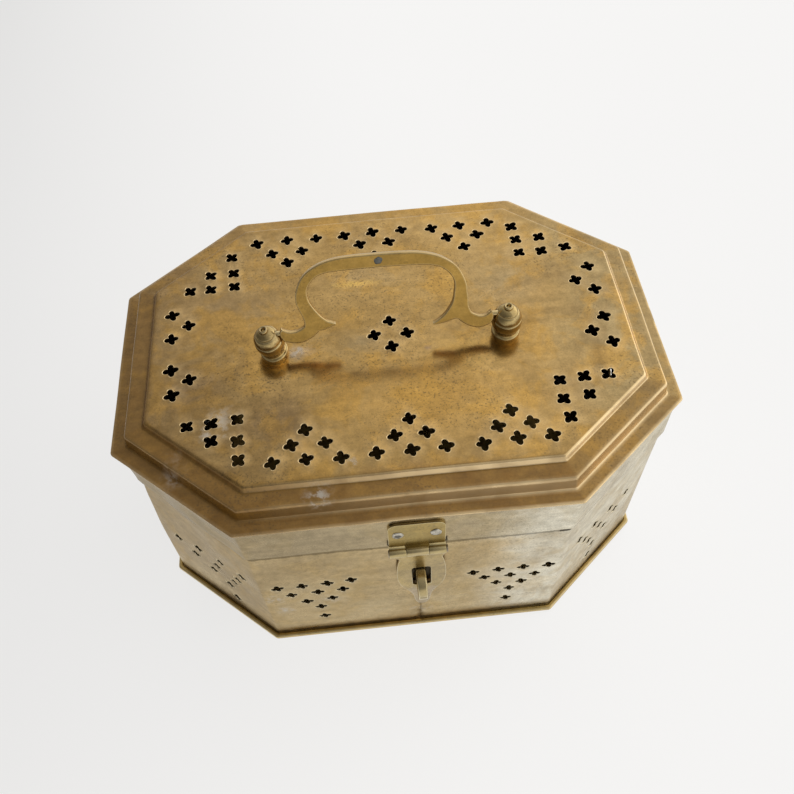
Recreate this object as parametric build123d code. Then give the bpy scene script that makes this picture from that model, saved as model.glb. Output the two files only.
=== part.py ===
from build123d import *
from math import asin, atan2, cos, degrees, pi, sin, sqrt, tan
import os

os.makedirs("parts", exist_ok=True)

# A long octagonal box of pierced sheet brass with a hinged lid, a swinging handle and a hasp.
# Millimetres. +X runs along the length, the hasp faces -Y, +Z is up.
# The origin is the centre of the base's underside.

# ---- sheet and outline ----
half_length = 92.8        # outside of the wall, along X
half_width = 66.7         # outside of the wall, along Y
cut_x = 39.2              # how much each corner cut takes off the long side
cut_y = 33.3              # how much each corner cut takes off the short side
sheet = 0.8               # thickness of the wall, lid and skirt
bend_radius = 2.0         # outside radius of the folded corners

# ---- base ----
base_sheet = 0.9
base_overhang = 2.0       # how far the base stands out past the wall
hem_height = 1.8          # the base's edge is folded back over itself
hem_gap = 0.3             # groove between the folded edge and the wall

# ---- wall ----
shoulder_z = 70.0         # above this the wall is necked in to go inside the lid
neck_rise = 2.0
neck_in = 1.8
lid_seat_gap = 0.1

# ---- lid ----
rim_top_z = 92.2
rim_overhang = 2.2        # lid rim past the wall's outside
skirt_out = 1.0           # skirt's outside past the wall's outside
skirt_bottom_z = 71.1
rim_width = 5.0
first_run, first_rise = 0.8, 5.4      # the outer pressed step is steep and tall
second_run, second_rise = 1.2, 2.2    # the inner one is low and gentler
ledge_width = 5.7
panel_top_z = rim_top_z + first_rise + second_rise

# ---- pierced crosses ----
lid_cross = (5.0, 1.7, 2.8)      # span, arm width, core diameter
cross_turn = 12.0                # degrees that the lid's straight groups are punched askew
wall_cross = (4.4, 1.5, 2.4)

# ---- hinges and hasp: one barrel size ----
knuckle_radius = 1.8
pin_radius = 0.85
pin_clearance = 0.05
pin_hole = pin_radius + pin_clearance
pin_play = 0.1            # the barrel's freedom along the pin, at each end
peen_radius = 1.2
peen_height = 0.4
leaf = 0.9
knuckle_gap = 0.15
barrel_z = 70.2
skirt_face_y = half_width + skirt_out
barrel_y = skirt_face_y + knuckle_radius
rivet_radius = 1.1
head_radius = 1.9
head_height = 0.6
head_edge = 0.2           # upright rim of a rivet's head, below its dome
tail_height = 0.4

hinge_x = 44.0            # each back hinge, from the middle
hinge_length = 18.0
hinge_knuckle = 6.0
hinge_leaf_height = 12.0
hinge_rivet_x = 5.6
hinge_rivet_up = 8.6      # each row of hinge rivets above or below the barrel
leaf_radius = 2.0         # rounded corners of the hinge leaves
barrel_clear = 0.3        # between a leaf's flat part and the other leaf's knuckle

hasp_x = 2.2              # the hasp sits a little off centre
hasp_half = 9.3
hasp_mid_half = 3.6       # half the length of the swinging plate's knuckle
hasp_leaf_top = 87.2
hasp_leaf_radius = 3.0
hasp_rivet_x = 6.1
hasp_rivet_z = 80.6
slot_width = 6.5
slot_height = 14.4
slot_z = 47.4
slot_radius = 1.2
plate_bottom = 47.5       # lowest point of the plate below the barrel's axis

staple_width = 3.3
staple_outer = 6.0
staple_bar = 2.2
staple_reach = 4.0        # straight part of each leg, outside the wall
staple_tail = 5.5         # each leg is clenched over inside by this much

# ---- handle and its posts ----
post_x = 40.0
post_y = -4.9
pivot_up = 9.7            # handle's axis above the lid panel
pivot_z = panel_top_z + pivot_up
handle_thick = 2.2
trunnion_radius = 1.0
trunnion_clearance = 0.05
foot_end = 34.8
trunnion_end = 38.2
stud_radius = 1.6
stud_length = 4.6
washer = (3.6, 0.7)       # radius, thickness
nut = (2.9, 2.0)          # across-corners radius, thickness
plug_radius = 1.4
plug_up = 23.0            # middle of the grip from the handle's axis
handle_lean = 25.0        # degrees that the handle leans back at rest
handle_place = Pos(0, post_y, pivot_z) * Rot(-handle_lean, 0, 0)


# ---- outline helpers ----
def octagon_points(offset):
    """Corners of the wall's outline moved outward by offset, counter-clockwise."""
    turn = atan2(cut_y, cut_x)
    long_x = half_length - cut_x + offset * tan(turn / 2)
    short_y = half_width - cut_y + offset * tan((pi / 2 - turn) / 2)
    far_x = half_length + offset
    far_y = half_width + offset
    return [
        (far_x, -short_y), (far_x, short_y), (long_x, far_y), (-long_x, far_y),
        (-far_x, short_y), (-far_x, -short_y), (-long_x, -far_y), (long_x, -far_y),
    ]


def octagon(offset, z):
    """Octagonal face with rounded corners at height z."""
    face = make_face(Polyline(*octagon_points(offset), close=True))
    return Pos(0, 0, z) * fillet(face.vertices(), bend_radius)


def prism(offset, z0, z1):
    return extrude(octagon(offset, z0), z1 - z0)


def frustum(offset0, z0, offset1, z1):
    return loft([octagon(offset0, z0), octagon(offset1, z1)], ruled=True)


def cross_tool(size, depth):
    """Four-lobed punch, standing on the XY plane and centred through it."""
    span, arm, core = size
    shape = SlotOverall(span, arm) + Rot(0, 0, 90) * SlotOverall(span, arm) + Circle(core / 2)
    return Pos(0, 0, -depth / 2) * extrude(shape, depth)


def wall_frame(index):
    """Frame on the middle of wall number index at z = 0: x along the wall, z out of it."""
    corners = octagon_points(0)
    ax, ay = corners[index]
    bx, by = corners[(index + 1) % 8]
    run = sqrt((bx - ax) ** 2 + (by - ay) ** 2)
    along = ((bx - ax) / run, (by - ay) / run, 0)
    outward = (along[1], -along[0], 0)
    middle = ((ax + bx) / 2, (ay + by) / 2, 0)
    return Plane(origin=middle, x_dir=along, z_dir=outward), run


# ---- pierced patterns ----
def triangle_rows(counts, pitch, steps):
    """Rows of holes, each centred, with counts[i] holes at distance steps[i] from the first."""
    spots = []
    for count, step in zip(counts, steps):
        for number in range(count):
            spots.append(((number - (count - 1) / 2) * pitch, step))
    return spots


def lid_holes():
    """Centre and turn, in degrees, of every cross in the lid panel."""
    spots = []
    long_pitch = 10.9
    row_y = 48.8
    apex = triangle_rows([3, 2, 1], long_pitch, [0, 5.6, 11.6])
    for side, shift in ((-1, 3.3), (1, -1.3)):
        for group in (-1, 0, 1):
            for x, step in apex:
                spots.append((group * 33.0 + shift + x, side * (row_y - step), cross_turn))
    corner_x, corner_y = 53.0, 29.3
    step_x, step_y = 8.2, 7.4
    slope = degrees(atan2(cut_y, cut_x))
    for sx in (-1, 1):
        for sy in (-1, 1):
            for row in range(3):
                for number in range(3 - row):
                    x = sx * (corner_x + number * step_x)
                    spots.append((x, sy * (corner_y + row * step_y), -sx * sy * slope))
    for sx in (-1, 1):
        for middle in (-11.0, 13.0):
            spots.append((sx * 69.0, middle, cross_turn))
            spots.append((sx * 75.0, middle - 5.4, cross_turn))
            spots.append((sx * 75.0, middle + 5.4, cross_turn))
    reach = 5.8
    for x, y in ((reach, 0), (-reach, 0), (0, reach), (0, -reach)):
        spots.append((x + 0.3, y - 1.3, cross_turn))
    return spots


def wall_holes():
    """Planes of every cross in the wall: a downward triangle and one hole below it."""
    top_row_z = 43.5
    step_z = 6.8
    rows = [0, step_z, 2 * step_z, 3 * step_z, 3 * step_z + 9.6]
    cluster = triangle_rows([4, 3, 2, 1, 1], 9.1, rows)
    spots = []
    for index in range(8):
        frame, run = wall_frame(index)
        centres = (-35.3, 35.3) if run > 90 else (0,)
        for centre in centres:
            for x, step in cluster:
                spots.append(frame * Location((x + centre, top_row_z - step, 0)))
    return spots


# ---- base and wall ----
def base_plate():
    """Flat sheet whose edge is folded back on itself, with a shallow groove beside the wall."""
    slab = prism(base_overhang, 0, hem_height)
    slab = fillet(slab.faces().filter_by(Axis.Z).edges(), 0.5)
    return slab - prism(hem_gap, base_sheet, hem_height)


def staple_centre():
    return -(half_width + staple_reach), slot_z


def staple_solid():
    """Bar bent into a U, pushed through the wall and clenched inside, lying in the YZ plane."""
    y, z = staple_centre()
    inside = -(half_width - sheet)
    inner = staple_outer - staple_bar
    hump = Pos(y, z) * (Circle(staple_outer) - Circle(inner))
    hump = hump & Pos(y - staple_outer, z) * Rectangle(2 * staple_outer, 3 * staple_outer)
    shape = hump
    for side in (-1, 1):
        middle = z + side * (staple_outer - staple_bar / 2)
        leg_end = inside + 1.0
        leg = Pos((y + leg_end) / 2, middle) * Rectangle(leg_end - y, staple_bar)
        tail_z = z + side * (inner + staple_tail / 2)
        tail = Pos(inside + 0.5, tail_z) * Rectangle(1.0, staple_tail)
        shape = shape + leg + tail
    frame = Plane(origin=(hasp_x - staple_width / 2, 0, 0), x_dir=(0, 1, 0), z_dir=(1, 0, 0))
    return extrude(frame * shape, staple_width)


def staple_slots():
    """The two slots in the wall for the staple's legs."""
    slots = []
    for side in (-1, 1):
        z = slot_z + side * (staple_outer - staple_bar / 2)
        slots.append(Pos(hasp_x, -half_width + sheet / 2, z) * Box(staple_width, 4 * sheet, staple_bar))
    return slots


def body_wall():
    top = rim_top_z - sheet - lid_seat_gap
    neck_z = shoulder_z + neck_rise
    outside = prism(0, base_sheet, shoulder_z) + frustum(0, shoulder_z, -neck_in, neck_z)
    outside = outside + prism(-neck_in, neck_z, top)
    inside = prism(-sheet, base_sheet, shoulder_z)
    inside = inside + frustum(-sheet, shoulder_z, -neck_in - sheet, neck_z)
    inside = inside + prism(-neck_in - sheet, neck_z, top)
    wall = outside - inside
    punch = cross_tool(wall_cross, 6 * sheet)
    tools = [spot * punch for spot in wall_holes()]
    tools += staple_slots()
    for x, z in body_rivet_spots():
        tools.append(y_cylinder(rivet_radius, x, half_width - 2 * sheet, half_width + sheet, z))
    return wall.cut(*tools)


def base_solder():
    """Bead of solder in the corner between the wall and the base."""
    leg = 1.2
    outer = prism(-sheet, base_sheet, base_sheet + leg)
    inner = frustum(-sheet - leg, base_sheet, -sheet, base_sheet + leg)
    return outer - inner


# ---- lid ----
def lid_top():
    """Pressed lid: a flat rim, two sloping steps and a flat pierced panel."""
    outside = prism(rim_overhang, rim_top_z - sheet, rim_top_z)
    hollow = []
    step, z = rim_overhang - rim_width, rim_top_z
    for run, rise in ((first_run, first_rise), (second_run, second_rise)):
        inset = sheet * (sqrt(run ** 2 + rise ** 2) - run) / rise
        outside = outside + frustum(step, z, step - run, z + rise)
        low, high = z - sheet, z - sheet + rise
        hollow.append(frustum(step - inset, low, step - run - inset, high))
        step, z = step - run - ledge_width, z + rise
    lid = outside.cut(*hollow)
    punch = cross_tool(lid_cross, 6 * sheet)
    tools = [Pos(x, y, panel_top_z) * Rot(0, 0, turn) * punch for x, y, turn in lid_holes()]
    for side in (-1, 1):
        tools.append(Pos(side * post_x, post_y, panel_top_z) * Cylinder(stud_radius, 6 * sheet))
    return lid.cut(*tools)


def lid_skirt():
    band = prism(skirt_out, skirt_bottom_z, rim_top_z - sheet)
    band = band - prism(skirt_out - sheet, skirt_bottom_z, rim_top_z - sheet)
    tools = []
    for x, z in lid_rivet_spots():
        tools.append(y_cylinder(rivet_radius, x, skirt_face_y - 2 * sheet, skirt_face_y + sheet, z))
    outer_y, inner_y = -skirt_face_y - sheet, -skirt_face_y + 2 * sheet
    for x in hasp_rivet_spots():
        tools.append(y_cylinder(rivet_radius, x, outer_y, inner_y, hasp_rivet_z))
    return band.cut(*tools)


def lid_solder():
    """Bead of solder in the corner between the skirt and the underside of the rim."""
    leg = 0.8
    low, high = rim_top_z - sheet - leg, rim_top_z - sheet
    outer = prism(skirt_out - sheet, low, high)
    inner = frustum(skirt_out - sheet, low, skirt_out - sheet - leg, high)
    return outer - inner


# ---- hinge and hasp hardware ----
def x_cylinder(radius, x0, x1, y, z):
    return Pos((x0 + x1) / 2, y, z) * Rot(0, 90, 0) * Cylinder(radius, x1 - x0)


def y_cylinder(radius, x, y0, y1, z):
    return Pos(x, (y0 + y1) / 2, z) * Rot(90, 0, 0) * Cylinder(radius, y1 - y0)


def block(x0, x1, y0, y1, z0, z1):
    return Pos((x0 + x1) / 2, (y0 + y1) / 2, (z0 + z1) / 2) * Box(x1 - x0, y1 - y0, z1 - z0)


def rivet(x, y_outer, y_inner, z):
    """Rivet through a joint from its outer face to its inner one, with a domed head outside."""
    out = 1 if y_outer > y_inner else -1
    grip = abs(y_outer - y_inner)
    tail_radius = 0.85 * head_radius
    tail = -grip - tail_height
    edge = head_edge
    rise = head_height - edge
    dome = (head_radius ** 2 + rise ** 2) / (2 * rise)
    half_turn = asin(head_radius / dome) / 2
    crown = (dome * sin(half_turn), head_height - dome + dome * cos(half_turn))
    stem = Polyline(
        (0, head_height), (0, tail), (tail_radius, tail), (tail_radius, -grip),
        (rivet_radius, -grip), (rivet_radius, 0), (head_radius, 0), (head_radius, edge),
    )
    cap = ThreePointArc((head_radius, edge), crown, (0, head_height))
    solid = revolve(make_face(Plane.XZ * (stem + cap)), Axis.Z)
    return Pos(x, y_outer, z) * Rot(-90 * out, 0, 0) * solid


def headed_pin(x0, x1, y, z):
    """Pin with both ends peened over past the barrel."""
    near, far = pin_play, pin_play + peen_height
    pin = x_cylinder(pin_radius, x0 - near, x1 + near, y, z)
    for start, end in ((x0 - far, x0 - near), (x1 + near, x1 + far)):
        pin = pin + x_cylinder(peen_radius, start, end, y, z)
    return pin


def hinge_spans(centre):
    """X spans of the body leaf's two outer knuckles and the lid leaf's middle one."""
    half = hinge_length / 2
    mid = half - hinge_knuckle
    outer = [(centre - half, centre - mid - knuckle_gap), (centre + mid + knuckle_gap, centre + half)]
    return outer, (centre - mid, centre + mid)


def hinge_rivet_spots(z):
    """Two rivets to each back hinge, in a row at height z."""
    offsets = (-hinge_rivet_x, hinge_rivet_x)
    return [(side * hinge_x + dx, z) for side in (-1, 1) for dx in offsets]


def lid_rivet_spots():
    return hinge_rivet_spots(barrel_z + hinge_rivet_up)


def body_rivet_spots():
    return hinge_rivet_spots(barrel_z - hinge_rivet_up)


def hasp_rivet_spots():
    return [hasp_x - hasp_rivet_x, hasp_x + hasp_rivet_x]


def rounded_leaf(x0, x1, y0, y1, z0, z1, radius, top):
    """Leaf with the two corners away from the barrel rounded."""
    plate = block(x0, x1, y0, y1, z0, z1)
    edges = plate.edges().filter_by(Axis.Y).group_by(Axis.Z)
    return fillet(edges[-1 if top else 0], radius)


def hinge_lid_leaf(centre):
    outer, (x0, x1) = hinge_spans(centre)
    left, right = outer[0][0], outer[1][1]
    face = skirt_face_y
    clear = barrel_z + knuckle_radius + barrel_clear
    top = barrel_z + hinge_leaf_height
    solid = rounded_leaf(left, right, face, face + leaf, clear, top, leaf_radius, True)
    solid = solid + block(x0, x1, face, face + leaf, barrel_z, clear)
    solid = solid + x_cylinder(knuckle_radius, x0, x1, barrel_y, barrel_z)
    tools = [x_cylinder(pin_hole, x0 - 1, x1 + 1, barrel_y, barrel_z)]
    for x, z in lid_rivet_spots():
        tools.append(y_cylinder(rivet_radius, x, face - 1, face + leaf + 1, z))
    return solid.cut(*tools)


def hinge_body_leaf(centre):
    outer, _ = hinge_spans(centre)
    left, right = outer[0][0], outer[1][1]
    face = half_width
    clear = barrel_z - knuckle_radius - barrel_clear
    bottom = barrel_z - hinge_leaf_height
    solid = rounded_leaf(left, right, face, face + leaf, bottom, clear, leaf_radius, False)
    for x0, x1 in outer:
        solid = solid + block(x0, x1, face, skirt_face_y + leaf, clear - leaf, barrel_z - 0.6)
        solid = solid + x_cylinder(knuckle_radius, x0, x1, barrel_y, barrel_z)
    tools = [x_cylinder(pin_hole, left - 1, right + 1, barrel_y, barrel_z)]
    for x, z in body_rivet_spots():
        tools.append(y_cylinder(rivet_radius, x, face - 1, face + leaf + 1, z))
    return solid.cut(*tools)


def hasp_leaf():
    """Fixed leaf on the lid's skirt, carrying the two outer knuckles."""
    back = -skirt_face_y
    front = back - leaf
    clear = barrel_z + knuckle_radius + barrel_clear
    left, right = hasp_x - hasp_half, hasp_x + hasp_half
    solid = rounded_leaf(left, right, front, back, clear, hasp_leaf_top, hasp_leaf_radius, True)
    mid = hasp_mid_half + knuckle_gap
    for x0, x1 in ((left, hasp_x - mid), (hasp_x + mid, right)):
        solid = solid + block(x0, x1, front, back, barrel_z, clear)
        solid = solid + x_cylinder(knuckle_radius, x0, x1, -barrel_y, barrel_z)
    tools = [x_cylinder(pin_hole, left - 1, right + 1, -barrel_y, barrel_z)]
    for x in hasp_rivet_spots():
        tools.append(y_cylinder(rivet_radius, x, front - 1, back + 1, hasp_rivet_z))
    return solid.cut(*tools)


def hasp_outline():
    """Right half of the swinging plate, from the barrel's axis down, then its mirror image."""
    neck = hasp_mid_half
    ear, ear_top, ear_low = 8.3, -3.2, -6.6
    waist = (7.2, -8.6)
    side, knee, tongue = (8.6, -20.0), (4.9, -34.5), (2.7, -43.5)
    half = Line((0, 0), (neck, 0))
    half += Line((neck, 0), (neck, ear_top))
    half += Line((neck, ear_top), (ear - 1.2, ear_top))
    half += ThreePointArc((ear - 1.2, ear_top), (ear - 0.3, ear_top - 0.4), (ear, ear_top - 1.2))
    half += Line((ear, ear_top - 1.2), (ear, ear_low))
    half += ThreePointArc((ear, ear_low), waist, (7.7, -10.4))
    tip = (0, -plate_bottom)
    half += Spline((7.7, -10.4), side, knee, tongue, tip, tangents=((0.35, -1), (-1, 0)))
    half += Line(tip, (0, 0))
    face = make_face(half)
    return face + mirror(face, Plane.YZ)


def hasp_plate():
    """Swinging plate with its own middle knuckle and the slot that goes over the staple."""
    back = -skirt_face_y
    slot = Pos(0, slot_z - barrel_z) * RectangleRounded(slot_width, slot_height, slot_radius)
    shape = hasp_outline() - slot
    frame = Plane(origin=(hasp_x, back, barrel_z), x_dir=(1, 0, 0), z_dir=(0, -1, 0))
    solid = extrude(frame * shape, leaf)
    x0, x1 = hasp_x - hasp_mid_half, hasp_x + hasp_mid_half
    solid = solid + x_cylinder(knuckle_radius, x0, x1, -barrel_y, barrel_z)
    return solid - x_cylinder(pin_hole, x0 - 1, x1 + 1, -barrel_y, barrel_z)


# ---- handle and posts ----
def handle():
    """Flat bail cut from plate, with a spur inside and a curled foot outside each leg.
    It is drawn standing up with its axis along X, and then leans back on that axis."""
    outer = Spline((0, 25.2), (7, 25.1), (13.8, 24.5), (19.6, 22.7), (24.4, 19.2), (27.1, 13.8),
                   (27.6, 9.2), (27.2, 5.2), tangents=((1, 0), (-0.2, -1)))
    valley = ThreePointArc((27.2, 5.2), (28.2, 2.7), (30.4, 1.5))
    crest = ThreePointArc((30.4, 1.5), (32.6, 1.7), (34.3, 2.9))
    foot = ThreePointArc((34.3, 2.9), (foot_end, 0.4), (33.4, -1.9))
    under = Spline((33.4, -1.9), (30.7, -2.8), (27.6, -2.2), (25.0, -0.7), (22.9, 1.2),
                   tangents=((-1, -0.45), (-0.75, 0.75)))
    spur = ThreePointArc((22.9, 1.2), (19.6, 0.9), (16.2, 1.1))
    tip = Line((16.2, 1.1), (16.1, 1.7))
    inner = Spline((16.1, 1.7), (19.6, 3.4), (22.4, 6.6), (23.8, 10.4), (23.9, 14.2), (22.0, 17.6),
                   (18.4, 19.6), (12.6, 20.4), (0, 20.7), tangents=((1, 0.25), (-1, 0)))
    half = outer + valley + crest + foot + under + spur + tip + inner + Line((0, 20.7), (0, 25.2))
    face = make_face(half)
    face = face + mirror(face, Plane.YZ)
    frame = Plane(origin=(0, handle_thick / 2, 0), x_dir=(1, 0, 0), z_dir=(0, -1, 0))
    solid = extrude(frame * face, handle_thick)
    for side in (-1, 1):
        start, end = side * (foot_end - 2.4), side * trunnion_end
        solid = solid + x_cylinder(trunnion_radius, min(start, end), max(start, end), 0, 0)
    return handle_place * (solid - plug_hole())


def plug_hole():
    return y_cylinder(plug_radius, 0, -handle_thick / 2, handle_thick / 2, plug_up)


def handle_plug():
    """Grey metal plug that fills a hole at the middle of the grip."""
    return handle_place * plug_hole()


def post(side):
    """Turned beehive finial with a threaded stud below and a cross hole for the handle."""
    half = Line((0, 0), (5.3, 0))
    half += Line((5.3, 0), (5.3, 0.7))
    half += ThreePointArc((5.3, 0.7), (5.0, 1.2), (4.4, 1.4))
    half += ThreePointArc((4.4, 1.4), (4.15, 1.9), (4.4, 2.4))
    half += ThreePointArc((4.4, 2.4), (4.95, 4.6), (4.75, 6.6))
    half += Line((4.75, 6.6), (4.45, 6.9))
    half += ThreePointArc((4.45, 6.9), (4.55, 8.6), (3.95, 10.1))
    half += Line((3.95, 10.1), (3.6, 10.3))
    half += ThreePointArc((3.6, 10.3), (3.0, 11.5), (1.9, 12.0))
    half += Line((1.9, 12.0), (1.55, 12.15))
    half += ThreePointArc((1.55, 12.15), (1.75, 12.75), (1.2, 13.3))
    half += Line((1.2, 13.3), (0.7, 12.6))
    half += Line((0.7, 12.6), (0, 12.4))
    half += Line((0, 12.4), (0, 0))
    solid = revolve(make_face(Plane.XZ * half), Axis.Z)
    solid = solid + Pos(0, 0, -stud_length / 2) * Cylinder(stud_radius, stud_length)
    solid = Pos(side * post_x, post_y, panel_top_z) * solid
    start, end = side * (foot_end - 1), side * (trunnion_end + 0.3)
    hole_radius = trunnion_radius + trunnion_clearance
    return solid - x_cylinder(hole_radius, min(start, end), max(start, end), post_y, pivot_z)


def post_washers():
    radius, thick = washer
    ring = Cylinder(radius, thick) - Cylinder(stud_radius, thick)
    z = panel_top_z - sheet - thick / 2
    return [Pos(side * post_x, post_y, z) * ring for side in (-1, 1)]


def post_nuts():
    radius, thick = nut
    body = extrude(RegularPolygon(radius, 6) - Circle(stud_radius), thick)
    z = panel_top_z - sheet - washer[1] - thick
    return [Pos(side * post_x, post_y, z) * body for side in (-1, 1)]


# ---- assembly ----
def save(name, solids):
    """Write one node, as a single solid or as a group of separate ones."""
    group = solids if isinstance(solids, list) else [solids]
    pieces = [piece for item in group for piece in item.solids()]
    shape = pieces[0] if len(pieces) == 1 else Compound(children=pieces)
    export_step(shape, f"parts/{name}.step")


save("base_plate", base_plate())
save("base_solder", base_solder())
save("body_wall", body_wall())
save("staple", staple_solid())
save("lid_top", lid_top())
save("lid_skirt", lid_skirt())
save("lid_solder", lid_solder())
save("handle", handle())
save("handle_plug", handle_plug())
save("post_washers", post_washers())
save("post_nuts", post_nuts())
save("hasp_leaf", hasp_leaf())
save("hasp_plate", hasp_plate())
save("hasp_pin", headed_pin(hasp_x - hasp_half, hasp_x + hasp_half, -barrel_y, barrel_z))
hasp_faces = (-(skirt_face_y + leaf), -(skirt_face_y - sheet))
save("hasp_rivets", [rivet(x, *hasp_faces, hasp_rivet_z) for x in hasp_rivet_spots()])
lid_faces = (skirt_face_y + leaf, skirt_face_y - sheet)
save("hinge_lid_rivets", [rivet(x, *lid_faces, z) for x, z in lid_rivet_spots()])
wall_faces = (half_width + leaf, half_width - sheet)
save("hinge_body_rivets", [rivet(x, *wall_faces, z) for x, z in body_rivet_spots()])

for word, side in (("left", -1), ("right", 1)):
    centre, half = side * hinge_x, hinge_length / 2
    save(f"post_{word}", post(side))
    save(f"hinge_{word}_lid_leaf", hinge_lid_leaf(centre))
    save(f"hinge_{word}_body_leaf", hinge_body_leaf(centre))
    save(f"hinge_{word}_pin", headed_pin(centre - half, centre + half, barrel_y, barrel_z))
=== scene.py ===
import random
from math import atan2, ceil, cos, degrees, hypot, pi, radians, sin, tan

import bmesh
import bpy
from mathutils import Matrix, Vector, noise
from mathutils.geometry import delaunay_2d_cdt


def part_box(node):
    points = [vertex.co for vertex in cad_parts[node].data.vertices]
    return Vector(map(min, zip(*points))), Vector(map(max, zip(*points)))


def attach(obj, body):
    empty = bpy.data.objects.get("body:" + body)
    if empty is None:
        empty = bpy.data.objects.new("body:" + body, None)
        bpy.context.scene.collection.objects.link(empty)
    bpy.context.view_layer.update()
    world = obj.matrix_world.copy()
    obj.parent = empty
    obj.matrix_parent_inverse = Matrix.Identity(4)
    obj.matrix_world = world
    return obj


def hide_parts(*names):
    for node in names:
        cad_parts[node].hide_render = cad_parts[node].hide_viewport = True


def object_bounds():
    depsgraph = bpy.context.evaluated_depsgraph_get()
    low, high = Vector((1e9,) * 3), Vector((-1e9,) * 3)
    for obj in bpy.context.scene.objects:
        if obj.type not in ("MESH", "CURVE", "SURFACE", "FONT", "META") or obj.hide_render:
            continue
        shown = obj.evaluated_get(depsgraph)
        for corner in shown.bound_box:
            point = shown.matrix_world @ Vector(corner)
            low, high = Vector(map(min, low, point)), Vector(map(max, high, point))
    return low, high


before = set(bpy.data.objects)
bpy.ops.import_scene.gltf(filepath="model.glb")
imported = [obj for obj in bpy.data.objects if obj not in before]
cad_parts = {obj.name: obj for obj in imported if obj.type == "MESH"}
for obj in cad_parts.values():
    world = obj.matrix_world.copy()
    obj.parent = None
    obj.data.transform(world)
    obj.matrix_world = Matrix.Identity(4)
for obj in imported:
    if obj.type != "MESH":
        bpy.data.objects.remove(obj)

cad_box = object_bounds()
MM = 0.001


# ---------------------------------------------------------------- sizes, in millimetres
def corner(node, which):
    """Lowest (0) or highest (1) corner of a CAD node, in millimetres."""
    return Vector(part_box(node)[which]) / MM


half_length, half_width = corner("body_wall", 1).xy
cut_x, cut_y = 39.2, 33.3
sheet = 0.8
bend_radius = 2.0
skirt_out = corner("lid_skirt", 1).x - half_length
skirt_bottom, skirt_top = corner("lid_skirt", 0).z, corner("lid_skirt", 1).z
rim_overhang = corner("lid_top", 1).x - half_length
panel_z = corner("lid_top", 1).z
first_run, first_rise = 0.8, 5.4
second_run, second_rise = 1.2, 2.2
rim_width = 5.0
ledge_width = 5.7
rim_z = panel_z - first_rise - second_rise
ledge_z = rim_z + first_rise
foot1 = rim_overhang - rim_width
crest1 = foot1 - first_run
foot2 = crest1 - ledge_width
crest2 = foot2 - second_run
wall_bottom, wall_top = corner("body_wall", 0).z, corner("body_wall", 1).z
shoulder_z, neck_rise, neck_in = 70.0, 2.0, 1.8
base_overhang = corner("base_plate", 1).x - half_length
hem_height = corner("base_plate", 1).z
seam_x = 2.8

leaf = 0.9
knuckle_radius = 1.8
barrel_y = (corner("hasp_pin", 0).y + corner("hasp_pin", 1).y) / 2
barrel_z = (corner("hasp_pin", 0).z + corner("hasp_pin", 1).z) / 2
skirt_face = half_width + skirt_out

post_x = (corner("post_right", 0).x + corner("post_right", 1).x) / 2
post_y = (corner("post_right", 0).y + corner("post_right", 1).y) / 2
handle_low, handle_high = corner("handle", 0), corner("handle", 1)
handle_thick = 2.2
handle_lean = radians(25.0)
pivot_z = panel_z + 9.7

box_low, box_high = Vector(cad_box[0]) / MM, Vector(cad_box[1]) / MM


# ---------------------------------------------------------------- hand-made irregularity
# Blender's noise starts from the clock unless it is given a seed, and then no two runs agree
noise.seed_set(7)


def waver(point):
    """Slow unevenness that every sheet part shares, so parts that touch still touch."""
    rise = min(1.0, max(0.0, point.z / 25.0))
    slow = noise.noise_vector(point * 0.017 + Vector((3.1, 7.7, 1.3)))
    quick = noise.noise_vector(point * 0.055 + Vector((8.2, 0.4, 5.9)))
    shift = Vector((slow.x * 0.55 + quick.x * 0.12, slow.y * 0.55 + quick.y * 0.12, slow.z * 0.3))
    return point + shift * rise


DENTS = [
    # place, reach, depth along the wall's inward normal
    ((-93.0, -18.0, 78.0), 28.0, 1.9),
    ((-80.0, -44.0, 56.0), 16.0, 1.1),
    ((-70.0, -52.0, 24.0), 15.0, 0.9),
    ((-92.0, -30.0, 72.0), 7.0, 0.9),
    ((-84.0, -42.0, 78.0), 9.0, 0.7),
    ((-70.0, -53.0, 82.0), 7.0, 0.5),
    ((-60.0, -61.0, 76.0), 11.0, 0.7),
    ((-30.0, -67.0, 60.0), 20.0, 0.5),
    ((24.0, -67.0, 24.0), 17.0, 0.5),
    ((60.0, -61.0, 60.0), 14.0, 0.5),
    ((84.0, -40.0, 84.0), 12.0, 0.5),
    ((92.0, 8.0, 45.0), 22.0, 0.8),
    ((-92.0, 12.0, 40.0), 18.0, 0.8),
    ((10.0, 67.0, 40.0), 24.0, 0.7),
]


def dented(point, normal):
    """The point pushed in by the wall's shallow dents, which fade out under the lid's rim."""
    depth = 0.0
    for place, reach, deep in DENTS:
        gap = (point - Vector(place)).length
        depth += deep * 2.718 ** (-(gap / reach) ** 2)
    fade = min(1.0, max(0.0, (skirt_top - point.z) / 5.0))
    return point - normal * depth * fade


def inside_box(point):
    return Vector([min(max(v, lo), hi) for v, lo, hi in zip(point, box_low, box_high)])


# ---------------------------------------------------------------- outlines
def octagon_corners(offset):
    """Corners of the wall's outline moved outward by offset, counter-clockwise from the right side."""
    turn = atan2(cut_y, cut_x)
    long_x = half_length - cut_x + offset * tan(turn / 2)
    short_y = half_width - cut_y + offset * tan((pi / 2 - turn) / 2)
    far_x, far_y = half_length + offset, half_width + offset
    return [Vector(c) for c in (
        (far_x, -short_y), (far_x, short_y), (long_x, far_y), (-long_x, far_y),
        (-far_x, short_y), (-far_x, -short_y), (-long_x, -far_y), (long_x, -far_y),
    )]


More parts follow.
